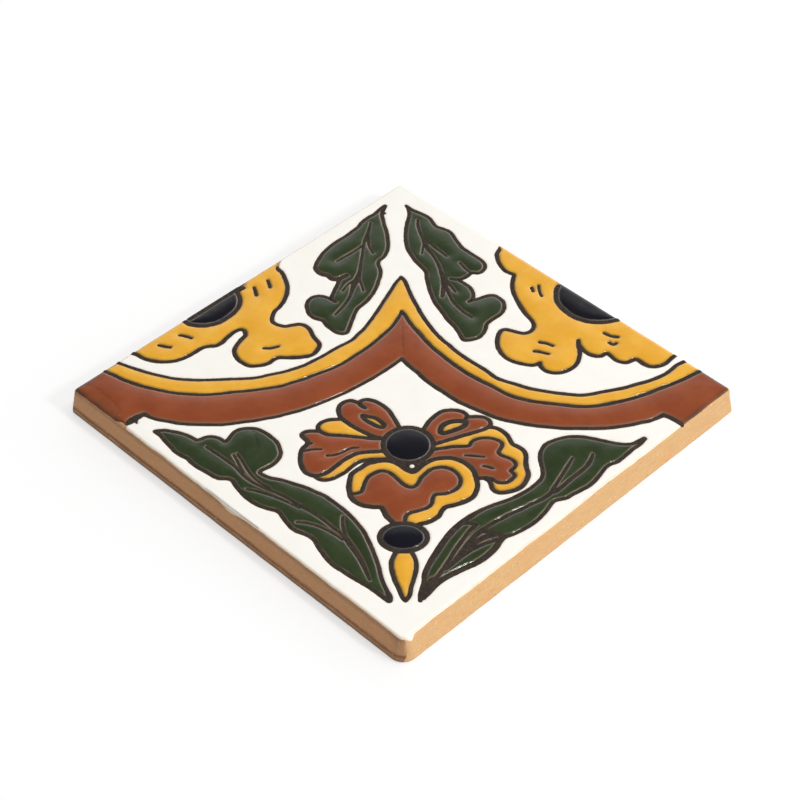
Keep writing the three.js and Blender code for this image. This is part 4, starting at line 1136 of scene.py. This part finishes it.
def deliver(tree, out, **results):
    """Wires the results to a group's outputs."""
    for socket, result in results.items():
        tree.links.new(result, out.inputs[socket])


NUMBER, COLOUR = "NodeSocketFloat", "NodeSocketColor"

# %% Glaze groups
# Painted shade: the glaze is darkened along the creases, more where they are deeper.
CREASE_SHADE = 7.0  # how much of the dark colour each millimetre of a crease's depth brings


def rim_group():
    """The distances to the line and to the tile's edge made ragged, and how thin the glaze is there."""
    tree, given, out = new_group(
        "ragged_rim", [("To line", NUMBER, 1.0), ("To edge", NUMBER, 1.0), ("Edge width", NUMBER, 0.6)],
        [("Distance", NUMBER), ("Thin", NUMBER), ("Edge", NUMBER)])
    place = put(tree, "ShaderNodeTexCoord").outputs["Object"]
    fray = calc(tree, "MULTIPLY", calc(tree, "SUBTRACT", blotches(tree, place, 0.7, 3), 0.5), 0.2)
    distance = calc(tree, "ADD", given.outputs["To line"], fray)
    from_edge = calc(tree, "ADD", given.outputs["To edge"], calc(tree, "MULTIPLY", fray, 2.0))
    edge = ease(tree, calc(tree, "DIVIDE", from_edge, given.outputs["Edge width"]), 0.0, 1.0, 1, 0)
    deliver(tree, out, Distance=distance, Thin=ease(tree, distance, 0.04, 0.3, 1, 0), Edge=edge)
    return tree


def skin_group():
    """Mottling, pinholes and the slightly uneven skin of a melted glaze."""
    tree, given, out = new_group(
        "glaze_skin", [("Color", COLOUR, (1, 1, 1, 1)), ("Second", COLOUR, (1, 1, 1, 1)),
                       ("Mottling", NUMBER, 0.5), ("Pinholes", NUMBER, 0.5), ("Thin", NUMBER, 0.0)],
        [("Color", COLOUR), ("Roughness", NUMBER), ("Height", NUMBER)])
    place = put(tree, "ShaderNodeTexCoord").outputs["Object"]
    clouds = ease(tree, blotches(tree, place, 7.0, 3), 0.35, 0.7)
    flecks = ease(tree, blotches(tree, place, 0.9, 4), 0.5, 0.8)
    share = calc(tree, "MULTIPLY", calc(tree, "ADD", clouds, calc(tree, "MULTIPLY", flecks, 0.4)),
                 given.outputs["Mottling"])
    colour = blend(tree, share, given.outputs["Color"], given.outputs["Second"])
    pits = put(tree, "ShaderNodeTexVoronoi", {"Vector": place, "Scale": 1 / (3.2 * MM)})
    chosen = put(tree, "ShaderNodeSeparateColor", {"Color": pits.outputs["Color"]}).outputs[0]
    few = calc(tree, "GREATER_THAN", given.outputs["Pinholes"], chosen)
    pit = calc(tree, "MULTIPLY", few, ease(tree, pits.outputs["Distance"], 0.02, 0.055, 1, 0))
    colour = blend(tree, calc(tree, "MULTIPLY", pit, 0.55), colour, fired(120, 90, 70))
    grain = blotches(tree, place, 0.5, 2)
    rough = calc(tree, "ADD", ease(tree, blotches(tree, place, 2.4, 3), 0.4, 0.7, 0.05, 0.1),
                 calc(tree, "MULTIPLY", given.outputs["Thin"], 0.05))
    ripple = calc(tree, "ADD", blotches(tree, place, 2.6, 2), calc(tree, "MULTIPLY", grain, 0.12))
    height = calc(tree, "SUBTRACT", ripple, calc(tree, "MULTIPLY", pit, 1.2))
    deliver(tree, out, Color=colour, Roughness=calc(tree, "ADD", rough, calc(tree, "MULTIPLY", pit, 0.4)),
            Height=height)
    return tree


ragged_rim = rim_group()
glaze_skin = skin_group()


def surface(material, colour, roughness, height, bump_depth, **fixed):
    """Wires colour, roughness and relief to a material's own shader."""
    tree = material.node_tree
    shader = tree.nodes["Principled BSDF"]
    bump = put(tree, "ShaderNodeBump", {"Height": height, "Distance": bump_depth * MM, "Strength": 1.0})
    tree.links.new(colour, shader.inputs["Base Color"])
    tree.links.new(roughness, shader.inputs["Roughness"])
    tree.links.new(bump.outputs["Normal"], shader.inputs["Normal"])
    for socket, value in fixed.items():
        shader.inputs[socket.replace("_", " ")].default_value = value


def glaze(name, rim_colours, edge, second, mottling, pinholes):
    """One glaze: its colours by millimetres from the line, its colour at the tile's edge, and its skin."""
    material = bpy.data.materials.new(name)
    material.use_nodes = True
    tree = material.node_tree
    ragged = put(tree, "ShaderNodeGroup", node_tree=ragged_rim)
    for attribute, socket in (("line_distance", "To line"), ("edge_distance", "To edge")):
        carried = put(tree, "ShaderNodeAttribute", attribute_name=attribute)
        tree.links.new(carried.outputs["Fac"], ragged.inputs[socket])
    edge_colour, edge_share, ragged.inputs["Edge width"].default_value = edge
    ramp = put(tree, "ShaderNodeValToRGB", {"Fac": ragged.outputs["Distance"]})
    for k, (distance, colour) in enumerate(rim_colours):
        stop = ramp.color_ramp.elements[0] if k == 0 else ramp.color_ramp.elements.new(distance)
        stop.position, stop.color = distance, fired(*colour)
    ramp.color_ramp.elements.remove(ramp.color_ramp.elements[-1])
    skin = put(tree, "ShaderNodeGroup", node_tree=glaze_skin)
    share = calc(tree, "MULTIPLY", ragged.outputs["Edge"], edge_share)
    colour = blend(tree, share, ramp.outputs["Color"], fired(*edge_colour))
    # Painted shade in the creases, darker where they are deeper.
    crease = put(tree, "ShaderNodeAttribute", attribute_name="crease").outputs["Fac"]
    colour = blend(tree, calc(tree, "MULTIPLY", crease, CREASE_SHADE), colour, fired(40, 34, 30))
    tree.links.new(colour, skin.inputs["Color"])
    tree.links.new(ragged.outputs["Thin"], skin.inputs["Thin"])
    skin.inputs["Second"].default_value = fired(*second)
    skin.inputs["Mottling"].default_value = mottling
    skin.inputs["Pinholes"].default_value = pinholes
    surface(material, skin.outputs["Color"], skin.outputs["Roughness"], skin.outputs["Height"], 0.02,
            IOR=1.5)
    return material


# %% [markdown]
# ## The five glazes
# Cream is opaque and stained brown where it touches the line. Yellow is brighter in its thick middle. The
# brown, green and navy thin out to a narrow lighter band beside the line, which is partly the thin glaze and
# partly a painted reflection of the bright surroundings in the steep rim, and green and navy are nearly
# black where they are deep.

# %% The glazes
# The lighter band of brown, green and navy beside the line is partly a painted reflection of the bright rim.
FINISHES = {
    "cream": glaze("cream_glaze", [(0.0, (150, 122, 102)), (0.1, (208, 188, 170)), (0.22, (243, 236, 227)),
                                   (0.6, (253, 250, 243))],
                   ((222, 184, 138), 0.6, 0.7), (249, 244, 234), 0.4, 0.12),
    "yellow": glaze("yellow_glaze", [(0.0, (82, 68, 48)), (0.13, (140, 110, 60)), (0.33, (202, 148, 56)),
                                     (0.65, (232, 168, 48))],
                    ((190, 140, 70), 0.7, 0.6), (242, 186, 72), 0.6, 0.1),
    "brown": glaze("brown_glaze", [(0.0, (78, 60, 50)), (0.14, (126, 102, 84)), (0.3, (134, 90, 68)),
                                   (0.6, (140, 72, 42)), (0.9, (138, 66, 34))],
                   ((82, 60, 42), 0.95, 1.5), (152, 78, 44), 0.6, 0.12),
    "green": glaze("green_glaze", [(0.0, (66, 58, 50)), (0.12, (120, 106, 88)), (0.25, (114, 102, 84)),
                                   (0.37, (62, 66, 48)), (0.55, (42, 53, 28)), (0.9, (40, 53, 26))],
                   ((60, 60, 44), 0.8, 0.6), (54, 66, 38), 0.8, 0.05),
    "navy": glaze("navy_glaze", [(0.0, (70, 62, 58)), (0.12, (116, 106, 98)), (0.26, (98, 90, 86)),
                                 (0.38, (36, 33, 40)), (0.55, (5, 4, 15))],
                  ((60, 56, 60), 0.8, 0.6), (10, 9, 26), 0.6, 0.03)}
for name, piece in pools.items():
    piece.data.materials.append(FINISHES[name])
print(len(FINISHES), "glazes")

# %% [markdown]
# ## The fired line
# The grease burns away in the kiln and leaves its dark pigment, dry and a little crumbly. It is matt, so
# it gets no gloss at all, a fine grain, and paler dusty places.

# %% The line's finish
line_finish.use_nodes = True
tree = line_finish.node_tree
place = put(tree, "ShaderNodeTexCoord").outputs["Object"]
dusty = ease(tree, blotches(tree, place, 0.6, 4), 0.45, 0.75, 0, 0.45)
dusty = blend(tree, dusty, fired(50, 42, 36), fired(88, 77, 65))
dusty = blend(tree, ease(tree, blotches(tree, place, 6.0, 2), 0.4, 0.7, 0, 0.4), dusty, fired(70, 58, 46))
surface(line_finish, dusty, ease(tree, blotches(tree, place, 0.4, 2), 0.3, 0.7, 0.6, 0.9),
        blotches(tree, place, 0.22, 4), 0.06, IOR=1.3)

# %% [markdown]
# ## Bare clay
# The body is a sandy terracotta. It is streaked along the side where the wire cut it, painted darker and
# redder near the foot as shade, and speckled with grog, pale and dark. It is dry and rough all over. The
# front left side has a thin brown wash, with painted shade over it.

# %% The clay's finish


def shaded_side(tree, colour, x, y, z):
    """The front left side, which faces away from the lamps: partly a thin brown wash, partly painted shade.

    The mask ends in a round rim just past the front corner. Each tint has what it follows, where it is full,
    where it has faded, its greatest share and its colour.
    """
    on_side = ease(tree, y, -(FACE_HALF - 0.4) * MM, -(FACE_HALF - 1.2) * MM, 1, 0)
    across = calc(tree, "DIVIDE", calc(tree, "ADD", x, y), math.sqrt(2))
    height = calc(tree, "SUBTRACT", z, 3.6 * MM)
    bulge = calc(tree, "MULTIPLY", calc(tree, "MULTIPLY", height, height), 0.085 / MM)
    inside = calc(tree, "SUBTRACT", calc(tree, "SUBTRACT", 0.95 * MM, bulge), across)
    wash_and_shade = calc(tree, "MULTIPLY", on_side, ease(tree, inside, 0.0, 0.15 * MM))
    # Painted shade on this side: a redder tone over all of it, a darker strip by the front corner where the
    # side turns towards the lamp, a dark rim where the mask ends, a shadow line under the glaze and a grey
    # shadow at the foot.
    for value, start, end, most, tint in (
            (z, 1.1 * MM, 0.5 * MM, 0.4, (207, 141, 107)), (inside, 0.0, 4.0 * MM, 0.6, (140, 100, 72)),
            (inside, 0.1 * MM, 0.5 * MM, 0.8, (84, 60, 38)), (z, 6.6 * MM, 5.4 * MM, 0.4, (112, 98, 78)),
            (z, 0.8 * MM, 1.3 * MM, 0.85, (128, 106, 88))):
        share = calc(tree, "MULTIPLY", wash_and_shade, ease(tree, value, start, end, most, 0))
        colour = blend(tree, share, colour, fired(*tint))
    # Painted shade: a dark red band low on the side, where the foot begins to round under.
    band = calc(tree, "MULTIPLY", ease(tree, z, 1.0 * MM, 1.6 * MM),
                ease(tree, z, 1.8 * MM, 2.6 * MM, 0.7, 0))
    return blend(tree, calc(tree, "MULTIPLY", wash_and_shade, band), colour, fired(112, 64, 38))


def clay_group():
    """Streaks, painted shade at the foot, the front left side's wash and painted shade, grog specks and
    pores.
    """
    tree, given, out = new_group(
        "terracotta", [("Body", COLOUR, (1, 1, 1, 1)), ("Foot shade", COLOUR, (1, 1, 1, 1))],
        [("Color", COLOUR), ("Roughness", NUMBER), ("Height", NUMBER)])
    place = put(tree, "ShaderNodeTexCoord").outputs["Object"]
    flat = put(tree, "ShaderNodeMapping", {"Vector": place, "Scale": (1, 1, 7)}).outputs["Vector"]
    streaks = blotches(tree, flat, 3.4, 4)
    colour = blend(tree, ease(tree, streaks, 0.35, 0.7, 0, 0.45), given.outputs["Body"], fired(200, 152, 100))
    colour = blend(tree, ease(tree, blotches(tree, place, 11.0, 3), 0.45, 0.75, 0, 0.4), colour,
                   fired(214, 148, 92))
    x, y, z = put(tree, "ShaderNodeSeparateXYZ", {"Vector": place}).outputs
    uneven = calc(tree, "MULTIPLY", calc(tree, "SUBTRACT", streaks, 0.5), 1.2 * MM)
    z = calc(tree, "ADD", z, uneven)
    # Painted shade: the clay darkens and reddens towards the bed, where it meets the floor.
    colour = blend(tree, ease(tree, z, 0.2 * MM, 0.6 * MM, 0.6, 0), colour, given.outputs["Foot shade"])
    colour = shaded_side(tree, colour, x, y, z)
    for size, threshold, speck in ((0.45, 0.66, (246, 214, 168)), (0.6, 0.7, (138, 88, 56)),
                                   (0.3, 0.73, (96, 66, 48))):
        mask = ease(tree, blotches(tree, place, size, 1), threshold, threshold + 0.08, 0, 0.45)
        colour = blend(tree, mask, colour, fired(*speck))
    pores = ease(tree, blotches(tree, place, 0.35, 3), 0.28, 0.42, 0, 1)
    relief = calc(tree, "ADD", pores, calc(tree, "MULTIPLY", streaks, 1.5))
    deliver(tree, out, Color=colour, Height=relief,
            Roughness=ease(tree, blotches(tree, place, 0.8, 2), 0.3, 0.7, 0.8, 0.95))
    return tree


clay_finish.use_nodes = True
terracotta = put(clay_finish.node_tree, "ShaderNodeGroup", node_tree=clay_group())
terracotta.inputs["Body"].default_value = fired(209, 168, 118)
terracotta.inputs["Foot shade"].default_value = fired(170, 108, 66)
surface(clay_finish, terracotta.outputs["Color"], terracotta.outputs["Roughness"],
        terracotta.outputs["Height"], 0.05, IOR=1.4)

# %% [markdown]
# ## Flat layout for baking
# Other programs can't run these nodes, so each piece gets a flat layout, on which its colours can be baked to
# an image. The glazes and the lines are simply seen from above, with their hidden undersides tucked into a
# corner. The slab's four sides become strips, with the bed and the face as squares beside them.

# %% Flat layouts
STRIP_MM = 110  # how many millimetres of the slab one unit of the layout holds
STRIP_FROM, STRIP_APART = 0.55, 0.11
SQUARE_SPAN = 0.46


def seen_from_above(piece):
    """Lays a piece out as seen from above. Faces that look down are put into a small corner."""
    mesh = piece.data
    layer = mesh.uv_layers.new(name="OFBake")
    xyz, of_loop = np.empty(len(mesh.vertices) * 3), np.empty(len(mesh.loops), int)
    mesh.vertices.foreach_get("co", xyz)
    mesh.loops.foreach_get("vertex_index", of_loop)
    normals, sides = np.empty(len(mesh.polygons) * 3), np.empty(len(mesh.polygons), int)
    mesh.polygons.foreach_get("normal", normals)
    mesh.polygons.foreach_get("loop_total", sides)
    flat = (xyz.reshape(-1, 3)[of_loop, :2] / MM + BED_HALF) / (2 * BED_HALF)
    hidden = np.repeat(normals.reshape(-1, 3)[:, 2] < -0.05, sides)
    uv = np.where(hidden[:, None], 0.002 + 0.014 * flat, 0.02 + 0.96 * flat)
    layer.data.foreach_set("uv", uv.ravel())


def in_strips(piece):
    """Lays the slab or the grog out as four strips for the sides, with the bed and the face as squares."""
    mesh = piece.data
    layer = mesh.uv_layers.new(name="OFBake")
    uv = np.empty((len(mesh.loops), 2))
    for face in mesh.polygons:
        x, y, z = face.center / MM
        nx, ny, nz = face.normal
        steep = max(abs(x), abs(y)) > FACE_HALF - 1.5
        for loop in face.loop_indices:
            px, py, pz = mesh.vertices[mesh.loops[loop].vertex_index].co / MM
            if steep and abs(nz) < 0.9:
                strip = 2 * (abs(y) > abs(x)) + ((y if abs(y) > abs(x) else x) > 0)
                along, out = (px, py) if abs(y) > abs(x) else (py, px)
                rise = pz + 0.5 * (BED_HALF - abs(out))
                uv[loop] = 0.5 + along / STRIP_MM, STRIP_FROM + STRIP_APART * strip + rise / STRIP_MM
            else:
                square = 0.02 if nz < 0 else 0.52
                uv[loop] = (square + SQUARE_SPAN * (px / BED_HALF + 1) / 2,
                            0.02 + SQUARE_SPAN * (py / BED_HALF + 1) / 2)
    layer.data.foreach_set("uv", uv.ravel())


for piece in (*pools.values(), bead):
    seen_from_above(piece)
for piece in (slab, grog):
    in_strips(piece)
print("laid out", len(pools) + 3, "pieces")

# %% [markdown]
# ## Floor, sky and lamps
# The photograph is a bright product picture on white. A big lamp overhead lights it evenly, a small one at
# the right lights the right side, and a still smaller one high on the right gives the rims their glints.
# The sky is bright low behind the tile, which the domed glazes mirror, and dim overhead and at the front
# left.

# %% Floor
FLOOR_HALF = 3.0
FLOOR_DROP = 0.00002  # a hair below the bed, so that the two never share a plane
floor_mesh = bpy.data.meshes.new("floor")
corners = [(x * FLOOR_HALF, y * FLOOR_HALF, -FLOOR_DROP) for x, y in ((-1, -1), (1, -1), (1, 1), (-1, 1))]
floor_mesh.from_pydata(corners, [], [(0, 1, 2, 3)])
floor = bpy.data.objects.new("floor", floor_mesh)
bpy.context.scene.collection.objects.link(floor)
paper = bpy.data.materials.new("white_paper")
paper.use_nodes = True
paper_shader = paper.node_tree.nodes["Principled BSDF"]
paper_shader.inputs["Base Color"].default_value = (0.4, 0.4, 0.4, 1)
paper_shader.inputs["Roughness"].default_value = 0.35
paper_shader.inputs["Specular IOR Level"].default_value = 0.35
paper_shader.inputs["Emission Color"].default_value = (1, 1, 1, 1)
paper_shader.inputs["Emission Strength"].default_value = 0.605
floor_mesh.materials.append(paper)

# %% Sky
world = bpy.data.worlds.new("studio")
bpy.context.scene.world = world
world.use_nodes = True
sky = world.node_tree
towards = put(sky, "ShaderNodeTexCoord").outputs["Generated"]
split = put(sky, "ShaderNodeSeparateXYZ", {"Vector": towards})
low_sky = ease(sky, split.outputs["Z"], 0.45, 0.75, 1.25, 0.22)
behind = put(sky, "ShaderNodeVectorMath", {0: towards, 1: (0.35, 0.8, 0.0)}, operation="DOT_PRODUCT")
side_share = ease(sky, behind.outputs["Value"], -0.6, 0.3, 0.11, 1.0)
background = sky.nodes["Background"]
sky.links.new(calc(sky, "MULTIPLY", low_sky, side_share), background.inputs["Strength"])
background.inputs["Color"].default_value = (1, 1, 1, 1)

# %% Lamps


def lamp(name, towards, distance, size, power, mirrored=True):
    """A square soft box that looks at the tile."""
    data = bpy.data.lights.new(name, "AREA")
    data.shape, data.size, data.energy = "SQUARE", size, power
    made = bpy.data.objects.new(name, data)
    direction = Vector(towards).normalized()
    made.matrix_world = (Matrix.Translation(direction * distance)
                         @ direction.to_track_quat("Z", "Y").to_matrix().to_4x4())
    made.visible_glossy = mirrored
    bpy.context.scene.collection.objects.link(made)


lamp("overhead", (0.18, 0.18, 1.0), 1.4, 0.9, 8.4, mirrored=False)
lamp("key", (0.73, 0.19, 0.61), 1.2, 0.14, 4.8)
lamp("glint", (0.37, 0.28, 0.88), 1.2, 0.07, 1.2)
bpy.context.scene.view_settings.view_transform = "Standard"
bpy.context.scene.view_settings.look = "None"

# %% [markdown]
# ## Riding on the tile
# Every piece is part of the one fired tile, so all of them ride on its body, and the imported solid is
# hidden.

# %% Ride and hide the solid
for piece in (slab, grog, bead, *pools.values()):
    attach(piece, "root")
    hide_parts("glazed_tile")
